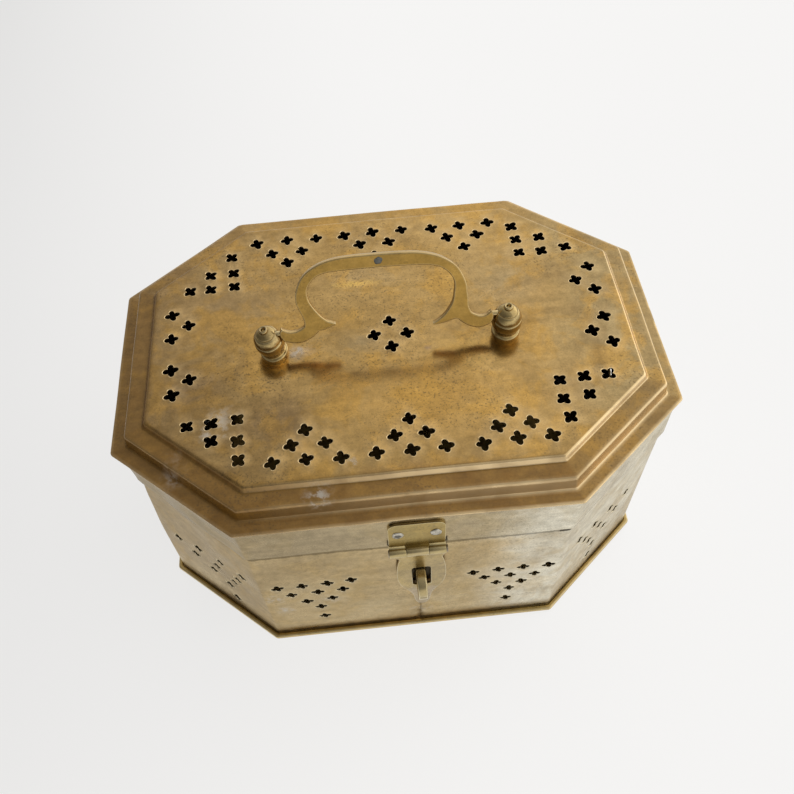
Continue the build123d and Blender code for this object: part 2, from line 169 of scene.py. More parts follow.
def spans(offset, radius):
    """Straight sides and rounded corners of the octagon in order: (start, end, centre or None, sweep)."""
    corners = octagon_corners(offset)
    fillets = []
    for i in range(8):
        before, here, after = corners[i - 1], corners[i], corners[(i + 1) % 8]
        d0, d1 = (here - before).normalized(), (after - here).normalized()
        turn = d0.angle(d1)
        back = radius * tan(turn / 2)
        start, end = here - d0 * back, here + d1 * back
        centre = start + Vector((-d0.y, d0.x)) * radius
        fillets.append((start, end, centre, turn))
    out = []
    for i in range(8):
        out.append(fillets[i])
        out.append((fillets[i][1], fillets[(i + 1) % 8][0], None, 0.0))
    return out


def along_span(span, share):
    """Point and outward normal a share of the way along a side or a corner."""
    start, end, centre, turn = span
    if centre is None:
        d = (end - start).normalized()
        return start.lerp(end, share), Vector((d.y, -d.x))
    arm = start - centre
    angle = turn * share
    spun = Vector((arm.x * cos(angle) - arm.y * sin(angle), arm.x * sin(angle) + arm.y * cos(angle)))
    return centre + spun, spun.normalized()


CORNER_STEPS = 5
SIDE_STEPS = [22, 17, 36, 17, 22, 17, 36, 17]


def ring(offset, radius=bend_radius):
    """Points and normals round the octagon, the same number at every offset."""
    points = []
    for i, span in enumerate(spans(offset, radius)):
        steps = SIDE_STEPS[i // 2] if i % 2 else CORNER_STEPS
        for k in range(steps):
            points.append(along_span(span, k / steps))
    return points


def rounded(points, radii, steps=4):
    """A polyline with each inner corner turned into an arc."""
    points = [Vector(p) for p in points]
    path = [points[0]]
    for i in range(1, len(points) - 1):
        radius = radii[i - 1]
        d0, d1 = (points[i] - points[i - 1]).normalized(), (points[i + 1] - points[i]).normalized()
        turn = d0.angle(d1)
        if radius <= 0 or turn < 1e-4:
            path.append(points[i])
            continue
        back = radius * tan(turn / 2)
        start = points[i] - d0 * back
        side = 1 if d0.x * d1.y - d0.y * d1.x > 0 else -1
        centre = start + Vector((-d0.y, d0.x)) * radius * side
        for k in range(steps + 1):
            angle = side * turn * k / steps
            arm = start - centre
            path.append(centre + Vector((
                arm.x * cos(angle) - arm.y * sin(angle), arm.x * sin(angle) + arm.y * cos(angle))))
    path.append(points[-1])
    return path


def divided(path, longest):
    """The polyline with long stretches cut into shorter ones."""
    out = [path[0]]
    for a, b in zip(path, path[1:]):
        count = max(1, ceil((b - a).length / longest))
        out += [a.lerp(b, k / count) for k in range(1, count + 1)]
    return out


# ---------------------------------------------------------------- mesh helpers
def make_mesh(name, points, faces, wear_and_sheen=None, merge=0.0, grime_and_shade=None):
    """Mesh from points in millimetres, with edge wear and grime at each point as attributes; on the lid the
    wear also carries painted highlight and the grime painted shade.
    """
    mesh = bpy.data.meshes.new(name)
    mesh.from_pydata([inside_box(Vector(p)) * MM for p in points], [], faces)
    for label, values in (("wear_and_sheen", wear_and_sheen), ("grime_and_shade", grime_and_shade)):
        attribute = mesh.attributes.new(label, "FLOAT", "POINT")
        if values:
            attribute.data.foreach_set("value", values)
    if merge:
        work = bmesh.new()
        work.from_mesh(mesh)
        bmesh.ops.remove_doubles(work, verts=work.verts, dist=merge * MM)
        work.to_mesh(mesh)
        work.free()
    mesh.update()
    return mesh


def recalc(mesh):
    """Points every face outward."""
    work = bmesh.new()
    work.from_mesh(mesh)
    bmesh.ops.recalc_face_normals(work, faces=work.faces)
    work.to_mesh(mesh)
    work.free()


def add_piece(name, mesh, body, materials, nodes=(), smooth=35):
    """Object from a mesh, riding on a CAD body and standing for CAD nodes."""
    piece = bpy.data.objects.new(name, mesh)
    bpy.context.scene.collection.objects.link(piece)
    mesh.materials.clear()
    for material in materials:
        mesh.materials.append(material)
    for polygon in mesh.polygons:
        polygon.use_smooth = True
    mesh.set_sharp_from_angle(angle=radians(smooth))
    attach(piece, body)
    if nodes:
        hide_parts(*nodes)
    return piece


def thicken(piece, thickness, inner_slot):
    """Sheet thickness, grown away from the outside; the inside and the cut edges take their own material."""
    solid = piece.modifiers.new("sheet", "SOLIDIFY")
    solid.thickness = thickness * MM
    solid.offset = -1.0
    solid.use_even_offset = False
    solid.use_rim = True
    solid.material_offset = inner_slot
    solid.material_offset_rim = inner_slot


def soften(piece, width, segments=2, angle=40):
    """Small bevel on the sharp edges of a carried-over CAD node or a built piece."""
    bevel = piece.modifiers.new("edge", "BEVEL")
    bevel.width = width * MM
    bevel.segments = segments
    bevel.limit_method = "ANGLE"
    bevel.angle_limit = radians(angle)
    bevel.use_clamp_overlap = True


def edge_wear(mesh, full=50):
    """Marks convex edges as worn, from how sharply the surface turns there."""
    work = bmesh.new()
    work.from_mesh(mesh)
    layer = work.verts.layers.float.get("wear_and_sheen") or work.verts.layers.float.new("wear_and_sheen")
    for vert in work.verts:
        sharpest = 0.0
        for edge in vert.link_edges:
            if len(edge.link_faces) == 2:
                sharpest = max(sharpest, degrees(edge.calc_face_angle_signed(0.0)))
        vert[layer] = min(1.0, sharpest / full)
    work.to_mesh(mesh)
    work.free()


def grid_faces(rows, columns, wrap, first=0):
    """Quads between rows of points, closed round each row if wrap is true."""
    faces = []
    for r in range(rows - 1):
        for c in range(columns if wrap else columns - 1):
            a = first + r * columns + c
            b = first + r * columns + (c + 1) % columns
            faces.append((a, b, b + columns, a + columns))
    return faces


def joined(parts):
    """Several (points, faces) lists as one."""
    points, faces = [], []
    for more, their in parts:
        start = len(points)
        points += more
        faces += [tuple(start + i for i in face) for face in their]
    return points, faces


# ---------------------------------------------------------------- pierced sheet
def cross_loop(centre, lobes, core, grow, steps=48):
    """Closed loop round a four-lobed punched hole, grown outward by grow. Lobes are (angle, reach)."""
    loop = []
    for k in range(steps):
        quarter, share = divmod(4 * k / steps, 1)
        (a0, reach0), (a1, reach1) = lobes[int(quarter)], lobes[(int(quarter) + 1) % 4]
        angle = a0 + ((a1 - a0) % (2 * pi)) * share
        lobe = reach0 if share < 0.5 else reach1
        reach = core + (lobe - core) * abs(cos(pi * share)) ** 1.3 + grow
        loop.append(centre + Vector((cos(angle), sin(angle))) * reach)
    return loop


def in_loop(point, loop):
    inside = False
    for a, b in zip(loop, loop[1:] + loop[:1]):
        if (a.y > point.y) != (b.y > point.y):
            if point.x < (b.x - a.x) * (point.y - a.y) / (b.y - a.y) + a.x:
                inside = not inside
    return inside


def pierced(boundary, lines, holes, tip, core, spacing, rng):
    """Flat sheet with punched crosses. Gives (u, v, sink) points, faces and edge wear."""
    flat = [p.copy() for p in boundary]
    edges = [(i, (i + 1) % len(boundary)) for i in range(len(boundary))]
    for line in lines:
        first = len(flat)
        flat += line
        edges += [(first + i, first + i + 1) for i in range(len(line) - 1)]
    punched = []
    for place, turn in holes:
        centre = Vector(place) + Vector((rng.uniform(-0.5, 0.5), rng.uniform(-0.5, 0.5)))
        tilt = turn + rng.uniform(-5, 5)
        size = rng.uniform(0.95, 1.04)
        lobes = [(radians(tilt + 90 * k + rng.uniform(-8, 8)), tip * size * rng.uniform(0.93, 1.07))
                 for k in range(4)]
        rings = [cross_loop(centre, lobes, core * size, grow) for grow in (0.0, 0.2, 0.45)]
        punched.append((centre, rings))
        first = len(flat)
        count = len(rings[2])
        flat += rings[2]
        edges += [(first + i, first + (i + 1) % count) for i in range(count)]
    low = Vector((min(p.x for p in boundary), min(p.y for p in boundary)))
    high = Vector((max(p.x for p in boundary), max(p.y for p in boundary)))
    taken = [p for line in lines for p in line]
    rows = int((high.y - low.y) / (spacing * 0.87))
    for r in range(1, rows + 1):
        y = low.y + r * spacing * 0.87
        columns = int((high.x - low.x) / spacing)
        for c in range(columns + 1):
            x = low.x + (c + 0.5 * (r % 2)) * spacing
            spot = Vector((x + rng.uniform(-0.2, 0.2), y + rng.uniform(-0.2, 0.2)))
            if not in_loop(spot, boundary) or min((spot - p).length for p in boundary) < spacing * 0.45:
                continue
            if any((spot - centre).length < tip + 1.1 for centre, _ in punched):
                continue
            if any(abs(spot.x - p.x) < spacing * 0.4 and abs(spot.y - p.y) < spacing for p in taken):
                continue
            flat.append(spot)
    verts, _, tris, origin, _, _ = delaunay_2d_cdt(flat, edges, [], 0, 1e-5)
    points = [(v.x, v.y, 0.0) for v in verts]
    wear_and_sheen = [0.0] * len(points)
    out_of = {source: index for index, sources in enumerate(origin) for source in sources}
    near = {}
    for centre, rings in punched:
        near.setdefault((round(centre.x / 12), round(centre.y / 12)), []).append((centre, rings[2]))
    faces = []
    hole_reach = tip * 1.3 + 0.5
    smallest = 2e-3
    for tri in tris:
        middle = sum((verts[i] for i in tri), Vector((0, 0))) / 3
        if not in_loop(middle, boundary):
            continue
        cell = (round(middle.x / 12), round(middle.y / 12))
        around = [item for dx in (-1, 0, 1) for dy in (-1, 0, 1)
                  for item in near.get((cell[0] + dx, cell[1] + dy), [])]
        if any((middle - centre).length < hole_reach and in_loop(middle, loop) for centre, loop in around):
            continue
        a, b, c = (verts[i] for i in tri)
        twice = (b.x - a.x) * (c.y - a.y) - (c.x - a.x) * (b.y - a.y)
        if abs(twice) > smallest:
            faces.append(tuple(tri) if twice > 0 else tuple(reversed(tri)))
    first_hole = len(boundary) + sum(len(line) for line in lines)
    for number, (centre, rings) in enumerate(punched):
        count = len(rings[2])
        outer = [out_of[first_hole + number * count + i] for i in range(count)]
        for index in outer:
            wear_and_sheen[index] = 0.15
        for loop, sink, worn_and_sheen in ((rings[1], -0.05, 1.0), (rings[0], 0.12, 1.0)):
            start = len(points)
            points += [(p.x, p.y, sink) for p in loop]
            wear_and_sheen += [worn_and_sheen] * count
            inner = list(range(start, start + count))
            for i in range(count):
                j = (i + 1) % count
                faces.append((outer[i], outer[j], inner[j], inner[i]))
            outer = inner
    return points, faces, wear_and_sheen


# ---------------------------------------------------------------- hole patterns
def triangle(counts, pitch, steps):
    spots = []
    for count, step in zip(counts, steps):
        spots += [((k - (count - 1) / 2) * pitch, step) for k in range(count)]
    return spots


CROSS_TURN = 12.0
side_skew = 2.0


def skewed(x, y):
    """A place turned about the lid's centre: the chamfer and end groups were set out askew."""
    turn = radians(side_skew)
    return x * cos(turn) - y * sin(turn), x * sin(turn) + y * cos(turn)


def lid_pattern():
    """Places and turns of the crosses in the lid: three triangles along each long side, a
    corner triangle at each chamfer, two threes at each end and a diamond in the middle."""
    spots = []
    group = triangle([3, 2, 1], 10.9, [0, 5.6, 11.6])
    for side, shift in ((-1, 3.3), (1, -1.3)):
        for number in (-1, 0, 1):
            spots += [((number * 33.0 + shift + x, side * (48.8 - step)), CROSS_TURN) for x, step in group]
    slope = degrees(atan2(cut_y, cut_x))
    for sx in (-1, 1):
        for sy in (-1, 1):
            for row in range(3):
                for k in range(3 - row):
                    place = skewed(sx * (53.0 + k * 8.2), sy * (29.3 + row * 7.4))
                    spots.append((place, -sx * sy * slope))
    for sx in (-1, 1):
        for middle in (-11.0, 13.0):
            spots.append((skewed(sx * 69.0, middle), CROSS_TURN))
            spots += [(skewed(sx * 75.0, middle + step), CROSS_TURN) for step in (-5.4, 5.4)]
    for x, y in ((5.8, 0), (-5.8, 0), (0, 5.8), (0, -5.8)):
        spots.append(((x + 0.3, y - 1.3), CROSS_TURN))
    return spots


# ---------------------------------------------------------------- materials
class Graph:
    """Short way to write a node tree."""

    def __init__(self, name):
        self.material = bpy.data.materials.new(name)
        self.material.use_nodes = True
        self.tree = self.material.node_tree
        self.tree.nodes.clear()
        self.place = self.node("ShaderNodeTexCoord").outputs["Object"]

    def node(self, kind, **settings):
        made = self.tree.nodes.new(kind)
        for key, value in settings.items():
            setattr(made, key, value)
        return made

    def feed(self, socket, value):
        if isinstance(value, bpy.types.NodeSocket):
            self.tree.links.new(value, socket)
        else:
            socket.default_value = value

    def scaled(self, size):
        mapping = self.node("ShaderNodeMapping")
        self.feed(mapping.inputs["Vector"], self.place)
        mapping.inputs["Scale"].default_value = size
        return mapping.outputs["Vector"]

    def noise(self, scale, detail=3.0, rough=0.55, twist=0.0, place=None):
        made = self.node("ShaderNodeTexNoise")
        self.feed(made.inputs["Vector"], self.place if place is None else place)
        self.feed(made.inputs["Scale"], scale)
        self.feed(made.inputs["Detail"], detail)
        self.feed(made.inputs["Roughness"], rough)
        self.feed(made.inputs["Distortion"], twist)
        return made.outputs["Fac"]

    def remap(self, value, low, high, to_low=0.0, to_high=1.0, smooth=True):
        made = self.node("ShaderNodeMapRange")
        made.interpolation_type = "SMOOTHSTEP" if smooth else "LINEAR"
        made.clamp = True
        self.feed(made.inputs["Value"], value)
        self.feed(made.inputs["From Min"], low)
        self.feed(made.inputs["From Max"], high)
        self.feed(made.inputs["To Min"], to_low)
        self.feed(made.inputs["To Max"], to_high)
        return made.outputs["Result"]

    def math(self, operation, a, b=0.0):
        made = self.node("ShaderNodeMath", operation=operation)
        self.feed(made.inputs[0], a)
        self.feed(made.inputs[1], b)
        return made.outputs[0]

    def times(self, *values):
        return self.math("MULTIPLY", *values)

    def plus(self, *values):
        return self.math("ADD", *values)

    def minus(self, *values):
        return self.math("SUBTRACT", *values)

    def mix(self, share, a, b):
        made = self.node("ShaderNodeMix", data_type="RGBA")
        self.feed(made.inputs["Factor"], share)
        for name, value in (("A", a), ("B", b)):
            socket = [s for s in made.inputs if s.name == name and s.type == "RGBA"][0]
            self.feed(socket, value if isinstance(value, bpy.types.NodeSocket) else (*value, 1.0))
        return [s for s in made.outputs if s.type == "RGBA"][0]

    def attribute(self, name):
        return self.node("ShaderNodeAttribute", attribute_name=name).outputs["Fac"]

    def axis(self, name):
        split = self.node("ShaderNodeSeparateXYZ")
        self.feed(split.inputs[0], self.place)
        return split.outputs[name]

    def blob(self, centre, reach, stretch=1.0):
        """1 at a place, in millimetres, falling to 0 at its reach, with a ragged edge; stretched along X."""
        shift = self.node("ShaderNodeVectorMath", operation="SUBTRACT")
        self.feed(shift.inputs[0], self.place)
        shift.inputs[1].default_value = [c * MM for c in centre]
        squash = self.node("ShaderNodeVectorMath", operation="MULTIPLY")
        self.feed(squash.inputs[0], shift.outputs[0])
        squash.inputs[1].default_value = (1 / stretch, 1.0, 1.0)
        size = self.node("ShaderNodeVectorMath", operation="LENGTH")
        self.feed(size.inputs[0], squash.outputs[0])
        ragged = self.times(self.noise(1.7 / (reach * MM), 5.0, 0.65), reach * MM * 1.3)
        total = self.plus(size.outputs["Value"], ragged)
        return self.remap(total, reach * MM * 0.5, reach * MM * 1.65, 1.0, 0.0)

    def box_mask(self, low, high, soft):
        """1 inside a box given in millimetres, falling to 0 outside it with an uneven edge."""
        middle = [(a + b) / 2 * MM for a, b in zip(low, high)]
        half = [(b - a) / 2 * MM for a, b in zip(low, high)]
        shift = self.node("ShaderNodeVectorMath", operation="SUBTRACT")
        self.feed(shift.inputs[0], self.place)
        shift.inputs[1].default_value = middle
        size = self.node("ShaderNodeVectorMath", operation="ABSOLUTE")
        self.feed(size.inputs[0], shift.outputs[0])
        over = self.node("ShaderNodeVectorMath", operation="SUBTRACT")
        self.feed(over.inputs[0], size.outputs[0])
        over.inputs[1].default_value = half
        split = self.node("ShaderNodeSeparateXYZ")
        self.feed(split.inputs[0], over.outputs[0])
        far = self.math("MAXIMUM", self.math("MAXIMUM", split.outputs[0], split.outputs[1]), split.outputs[2])
        speckle = self.minus(self.noise(420.0, 4.0, 0.7), 0.5)
        ragged = self.times(speckle, soft * MM * 2.2)
        return self.remap(self.plus(far, ragged), 0.0, soft * MM, 1.0, 0.0)

    def finish(self, colour, roughness, metallic, height, bump, distance, edge_tint=None):
        shader = self.node("ShaderNodeBsdfPrincipled")
        self.feed(shader.inputs["Base Color"], colour)
        self.feed(shader.inputs["Roughness"], roughness)
        self.feed(shader.inputs["Metallic"], metallic)
        if edge_tint:
            shader.inputs["Specular Tint"].default_value = (*edge_tint, 1.0)
        relief = self.node("ShaderNodeBump")
        relief.inputs["Strength"].default_value = bump
        relief.inputs["Distance"].default_value = distance * MM
        self.feed(relief.inputs["Height"], height)
        self.feed(shader.inputs["Normal"], relief.outputs["Normal"])
        out = self.node("ShaderNodeOutputMaterial")
        self.feed(out.inputs["Surface"], shader.outputs[0])
        return self.material


# Near-black colour of painted shade in gaps and under overhanging edges.
PAINTED_SHADE_COLOUR = (0.012, 0.008, 0.005)
CHALK_COLOUR = (0.60, 0.57, 0.51)


def aged_brass(name, light, mid, dark, warm, rough=(0.30, 0.46),
               warm_share=0.5, dark_share=0.5, speck_share=0.5,
               worn_and_sheen=(0.78, 0.66, 0.40), grain=(1.0, 1.0, 1.0), tones=(), stains=(), chalk=(), painted_shade=(),
               grime_and_shade=(0.25, 0.125, 0.02), edge_tint=None):
    """Old brass: two scales of tarnish, warm patches, fine dark pitting, worn edges and painted highlight,
    grime and painted shade, and local marks.
    tones are (axis, from, to, colour): a colour that gives way to the others along an axis.
    stains are (place, reach, stretch, colour, strength); chalk is (place, reach, strength); each box of
    painted shade in gaps and under edges is (low corner, high corner, soft edge, strength)."""
    g = Graph(name)
    slow = g.noise(16.0, 4.0, 0.6, 0.8)
    middle = g.noise(70.0, 5.0, 0.62, 0.5)
    quick = g.noise(330.0, 4.0, 0.6)
    fine = g.noise(1500.0, 3.0, 0.6)
    streak = g.noise(95.0, 4.0, 0.6, 0.0, g.scaled((0.35 * grain[0], 3.2 * grain[1], 3.2 * grain[2])))
    colour = g.mix(g.remap(slow, 0.34, 0.66), mid, light)
    for axis, low, high, tone in tones:
        side = g.remap(g.plus(g.axis(axis), g.times(slow, 0.05)), low * MM, high * MM)
        colour = g.mix(side, tone, colour)
    for centre, reach, stretch, tone, strength in stains:
        colour = g.mix(g.times(g.blob(centre, reach, stretch), strength), colour, tone)
    patch = g.remap(g.plus(middle, g.times(slow, 0.35)), 0.62, 0.80)
    colour = g.mix(g.times(patch, warm_share), colour, warm)
    tarnish = g.remap(g.noise(27.0, 5.0, 0.65, 1.2), 0.46, 0.72)
    colour = g.mix(g.times(tarnish, dark_share), colour, dark)
    # Grime attribute: real grime, and on the lid's rim and ledge also painted shade.
    grime_and_shade_mask = g.times(g.attribute("grime_and_shade"), g.remap(middle, 0.30, 0.62, 1.0, 0.72))
    colour = g.mix(grime_and_shade_mask, colour, grime_and_shade)
    even = g.remap(streak, 0.3, 0.7, 0.90, 1.10, smooth=False)
    even = g.times(even, g.remap(quick, 0.3, 0.7, 0.86, 1.14, smooth=False))
    even = g.times(even, g.remap(fine, 0.3, 0.7, 0.90, 1.10, smooth=False))
    tinted = g.node("ShaderNodeVectorMath", operation="SCALE")
    g.feed(tinted.inputs[0], colour)
    g.feed(tinted.inputs["Scale"], even)
    colour = tinted.outputs[0]
    pits = g.remap(g.noise(1250.0, 2.0, 0.6), 0.54, 0.68)
    where = g.remap(g.noise(34.0, 3.0, 0.6), 0.42, 0.62)
    specks = g.times(g.times(pits, where), speck_share)
    colour = g.mix(specks, colour, [c * 0.5 for c in dark])
    # Wear attribute: real edge wear, and on the lid's steps also painted highlight.
    wear_and_sheen = g.times(g.attribute("wear_and_sheen"), g.remap(middle, 0.32, 0.60, 0.6, 1.0))
    colour = g.mix(g.times(wear_and_sheen, 0.9), colour, worn_and_sheen)
    dull = g.math("MAXIMUM", g.times(specks, 0.4), g.times(grime_and_shade_mask, 0.65))
    metal = g.minus(1.0, dull)
    roughness = g.remap(middle, 0.3, 0.7, rough[0], rough[1], smooth=False)
    roughness = g.minus(roughness, g.times(wear_and_sheen, 0.06))
    for centre, reach, strength in chalk:
        mark = g.times(g.blob(centre, reach), g.remap(quick, 0.40, 0.60, 0.0, strength))
        colour = g.mix(mark, colour, CHALK_COLOUR)
        metal = g.times(metal, g.minus(1.0, mark))
        roughness = g.plus(roughness, g.times(mark, 0.3))
    # Boxes of painted shade, near-black in gaps and under overhanging edges.
    for low, high, soft, strength in painted_shade:
        painted_shade_share = g.times(g.box_mask(low, high, soft), strength)
        colour = g.mix(painted_shade_share, colour, PAINTED_SHADE_COLOUR)
    relief = g.plus(g.times(quick, 0.45), g.times(streak, 0.30))
    relief = g.plus(relief, g.times(fine, 0.12))
    relief = g.minus(relief, g.times(specks, 0.3))
    return g.finish(colour, roughness, metal, relief, 0.30, 0.12, edge_tint)


def dull_metal(name, light, dark, rough=(0.35, 0.6), metallic=1.0):
    """Solder, rivets and wire: grey metal, mottled and slightly lumpy."""
    g = Graph(name)
    middle = g.noise(260.0, 4.0, 0.6, 0.6)
    fine = g.noise(1400.0, 3.0, 0.6)
    colour = g.mix(g.remap(middle, 0.35, 0.65), dark, light)
    colour = g.mix(g.times(g.remap(fine, 0.60, 0.72), 0.5), colour, [c * 0.4 for c in dark])
    colour = g.mix(g.attribute("grime_and_shade"), colour, [c * 0.25 for c in dark])
    roughness = g.remap(middle, 0.3, 0.7, rough[0], rough[1], smooth=False)
    relief = g.plus(g.times(middle, 0.7), g.times(fine, 0.3))
    return g.finish(colour, roughness, metallic, relief, 0.4, 0.15)


front = -half_width
hasp_x = (corner("hasp_leaf", 0).x + corner("hasp_leaf", 1).x) / 2
slot_z = 47.4
lid_chalk = [((-57.0, -31.0, panel_z), 8.0, 0.6), ((-27.2, -61.0, ledge_z), 6.0, 0.8),
             ((-72.0, -44.0, rim_z), 8.0, 0.5), ((-16.0, -51.5, panel_z), 2.5, 0.8),
             ((-32.0, -5.2, panel_z), 3.4, 1.0), ((-62.0, -36.0, panel_z), 4.0, 0.6)]
lid_stains = [
    ((12.0, -30.0, panel_z), 22.0, 1.6, (0.52, 0.30, 0.075), 0.75),
    ((-38.0, -33.0, panel_z), 15.0, 1.2, (0.27, 0.185, 0.105), 0.85),
    ((-10.0, -4.0, panel_z), 8.0, 1.4, (0.38, 0.285, 0.155), 0.65),
    ((44.0, 20.0, panel_z), 22.0, 1.2, (0.46, 0.34, 0.175), 0.75),
    ((26.0, -12.0, panel_z), 12.0, 1.3, (0.54, 0.34, 0.10), 0.65),
    ((-54.0, 16.0, panel_z), 20.0, 1.2, (0.36, 0.25, 0.13), 0.65),
    ((-68.0, -16.0, panel_z), 16.0, 1.0, (0.34, 0.23, 0.125), 0.75),
    ((6.0, -56.0, panel_z), 6.0, 6.0, (0.33, 0.195, 0.075), 0.65),
    ((-6.0, 26.0, panel_z), 9.0, 2.2, (0.48, 0.35, 0.18), 0.6),
    ((-9.8, 23.3, panel_z), 2.6, 5.0, (0.76, 0.50, 0.15), 0.9),
    ((26.0, 20.0, panel_z), 6.0, 1.0, (0.58, 0.38, 0.12), 0.6),
    ((60.0, -20.0, panel_z), 14.0, 1.0, (0.50, 0.33, 0.13), 0.5),
    ((12.6, -9.0, panel_z), 1.5, 1.4, (0.27, 0.18, 0.12), 0.85),
    ((-31.4, -6.0, panel_z), 4.4, 1.6, (0.62, 0.60, 0.56), 0.9),
]
wall_chalk = [((-47.7, front, 24.0), 4.5, 0.9), ((-50.0, front, 35.0), 5.0, 0.7),
              ((-30.0, front, 30.0), 7.0, 0.4), ((3.0, front, 12.0), 6.0, 0.5)]
wall_stains = [
    ((-34.0, front, 58.0), 12.0, 1.8, (0.36, 0.27, 0.15), 0.7),
    ((26.0, front, 62.0), 10.0, 2.0, (0.56, 0.40, 0.19), 0.6),
    ((14.0, front, 22.0), 11.0, 1.2, (0.66, 0.54, 0.33), 0.7),
    ((-12.0, front, 20.0), 12.0, 1.4, (0.60, 0.49, 0.30), 0.6),
    ((44.0, front, 44.0), 9.0, 1.0, (0.40, 0.29, 0.14), 0.5),
]
# Painted shade on the wall: in the hasp's slot, in the notches beside the plate's ears, in a band just under
# the skirt, and a shadow line under the skirt toward the right.
wall_painted_shade = [
    ((hasp_x - 3.2, front - 2, slot_z - 7.4), (hasp_x + 4.6, front + 2, slot_z + 8.0), 0.6, 1.0),
    ((hasp_x - 7.0, front - 2, 63.6), (hasp_x - 3.0, front + 2, 67.6), 1.3, 0.7),
    ((hasp_x + 6.6, front - 2, 64.4), (hasp_x + 9.2, front + 2, 68.4), 1.1, 0.7),
    ((-200.0, front - 200, 68.6), (200.0, front + 200, 72.0), 1.0, 0.5),
    ((50.0, front - 200, skirt_bottom - 3.1), (200.0, front + 200, skirt_bottom + 2.0), 0.4, 0.8),
]
hasp_top = corner("hasp_leaf", 1).z
# Painted shade on the skirt: thin shadow lines along the hasp leaf's left, top and right edges, where the
# leaf stands off the skirt.
skirt_painted_shade = [
    ((hasp_x - 9.7, front - 4, 72.5), (hasp_x - 8.9, front + 2, 76.0), 0.5, 0.85),
    ((hasp_x - 8.6, front - 4, hasp_top - 0.8), (hasp_x + 5.0, front + 2, hasp_top - 0.25), 0.3, 1.0),
    ((hasp_x + 9.0, front - 4, 70.0), (hasp_x + 9.7, front + 2, 75.0), 0.5, 0.8),
]
skirt_stains = [((-30.0, front, 82.0), 12.0, 2.0, (0.36, 0.29, 0.18), 0.6),
                ((30.0, front, 80.0), 10.0, 2.0, (0.52, 0.44, 0.30), 0.6),
                ((60.0, front + 12, 84.0), 8.0, 1.0, (0.36, 0.27, 0.13), 0.5)]
lid_brass = aged_brass(
    "lid_brass", (0.51, 0.335, 0.13), (0.43, 0.275, 0.10), (0.24, 0.15, 0.06), (0.56, 0.325, 0.08),
    rough=(0.13, 0.24), warm_share=0.65, dark_share=0.55, speck_share=0.55, worn_and_sheen=(0.95, 0.72, 0.40),
    chalk=lid_chalk, stains=lid_stains,
    tones=[("X", -85.0, 0.0, (0.39, 0.26, 0.125)), ("X", 100.0, 70.0, (0.40, 0.29, 0.135))])
wall_brass = aged_brass(
    "wall_brass", (0.52, 0.40, 0.22), (0.46, 0.35, 0.19), (0.32, 0.235, 0.125), (0.52, 0.37, 0.16),
    rough=(0.24, 0.38), warm_share=0.4, dark_share=0.4, speck_share=0.4, chalk=wall_chalk, painted_shade=wall_painted_shade,
    worn_and_sheen=(0.75, 0.66, 0.46), stains=wall_stains, edge_tint=(0.80, 0.76, 0.68),
    # Paler toward the bottom: painted reflection of the bright floor near the box. Pale toward the right end:
    # painted reflection of the bright room on that side.
    tones=[("X", -95.0, 0.0, (0.40, 0.31, 0.19)), ("Z", 4.0, 50.0, (0.82, 0.69, 0.45)),
           ("X", 74.0, 46.0, (0.78, 0.74, 0.62))])
skirt_brass = aged_brass(
    "skirt_brass", (0.46, 0.375, 0.235), (0.40, 0.32, 0.195), (0.28, 0.21, 0.12), (0.47, 0.35, 0.17),
    rough=(0.20, 0.34), warm_share=0.3, dark_share=0.4, speck_share=0.35, painted_shade=skirt_painted_shade,
    # Pale toward the right end: painted reflection of the bright room on that side.
    stains=skirt_stains, tones=[("X", -95.0, 20.0, (0.29, 0.225, 0.135)),
                                 ("X", 74.0, 48.0, (0.74, 0.70, 0.58))], edge_tint=(0.80, 0.76, 0.68))
base_brass = aged_brass(
    "base_brass", (0.50, 0.36, 0.13), (0.43, 0.29, 0.095), (0.28, 0.18, 0.07), (0.62, 0.41, 0.13),
    rough=(0.26, 0.40), dark_share=0.35)
cast_brass = aged_brass(
    "cast_brass", (0.50, 0.37, 0.16), (0.40, 0.285, 0.105), (0.17, 0.105, 0.037), (0.50, 0.34, 0.11),
    rough=(0.16, 0.27), dark_share=0.6, speck_share=0.45, worn_and_sheen=(0.80, 0.68, 0.43),
    # Darker near the lid: painted shade at the finials' base.
    tones=[("Z", panel_z + 0.5, panel_z + 6.0, (0.20, 0.13, 0.05))])
handle_brass = aged_brass(
    "handle_brass", (0.46, 0.285, 0.075), (0.37, 0.225, 0.056), (0.19, 0.115, 0.035), (0.47, 0.285, 0.065),
    rough=(0.26, 0.38), dark_share=0.35, speck_share=0.45, worn_and_sheen=(0.72, 0.58, 0.32))
leaf_brass = aged_brass(
    "leaf_brass", (0.40, 0.30, 0.105), (0.33, 0.235, 0.07), (0.18, 0.115, 0.04), (0.42, 0.29, 0.08),
    rough=(0.22, 0.34), dark_share=0.4, speck_share=0.4, worn_and_sheen=(0.74, 0.64, 0.40))
plate_brass = aged_brass(
    "plate_brass", (0.42, 0.33, 0.21), (0.36, 0.285, 0.18), (0.24, 0.18, 0.10), (0.43, 0.33, 0.17),
    rough=(0.22, 0.34), dark_share=0.35, speck_share=0.35, worn_and_sheen=(0.74, 0.66, 0.46),
    tones=[("Z", 69.0, 64.5, (0.44, 0.32, 0.115))])
staple_brass = aged_brass(
    "staple_brass", (0.36, 0.26, 0.09), (0.28, 0.195, 0.062), (0.15, 0.095, 0.033), (0.36, 0.25, 0.07),
    rough=(0.22, 0.34), dark_share=0.4, speck_share=0.45, worn_and_sheen=(0.86, 0.76, 0.50))
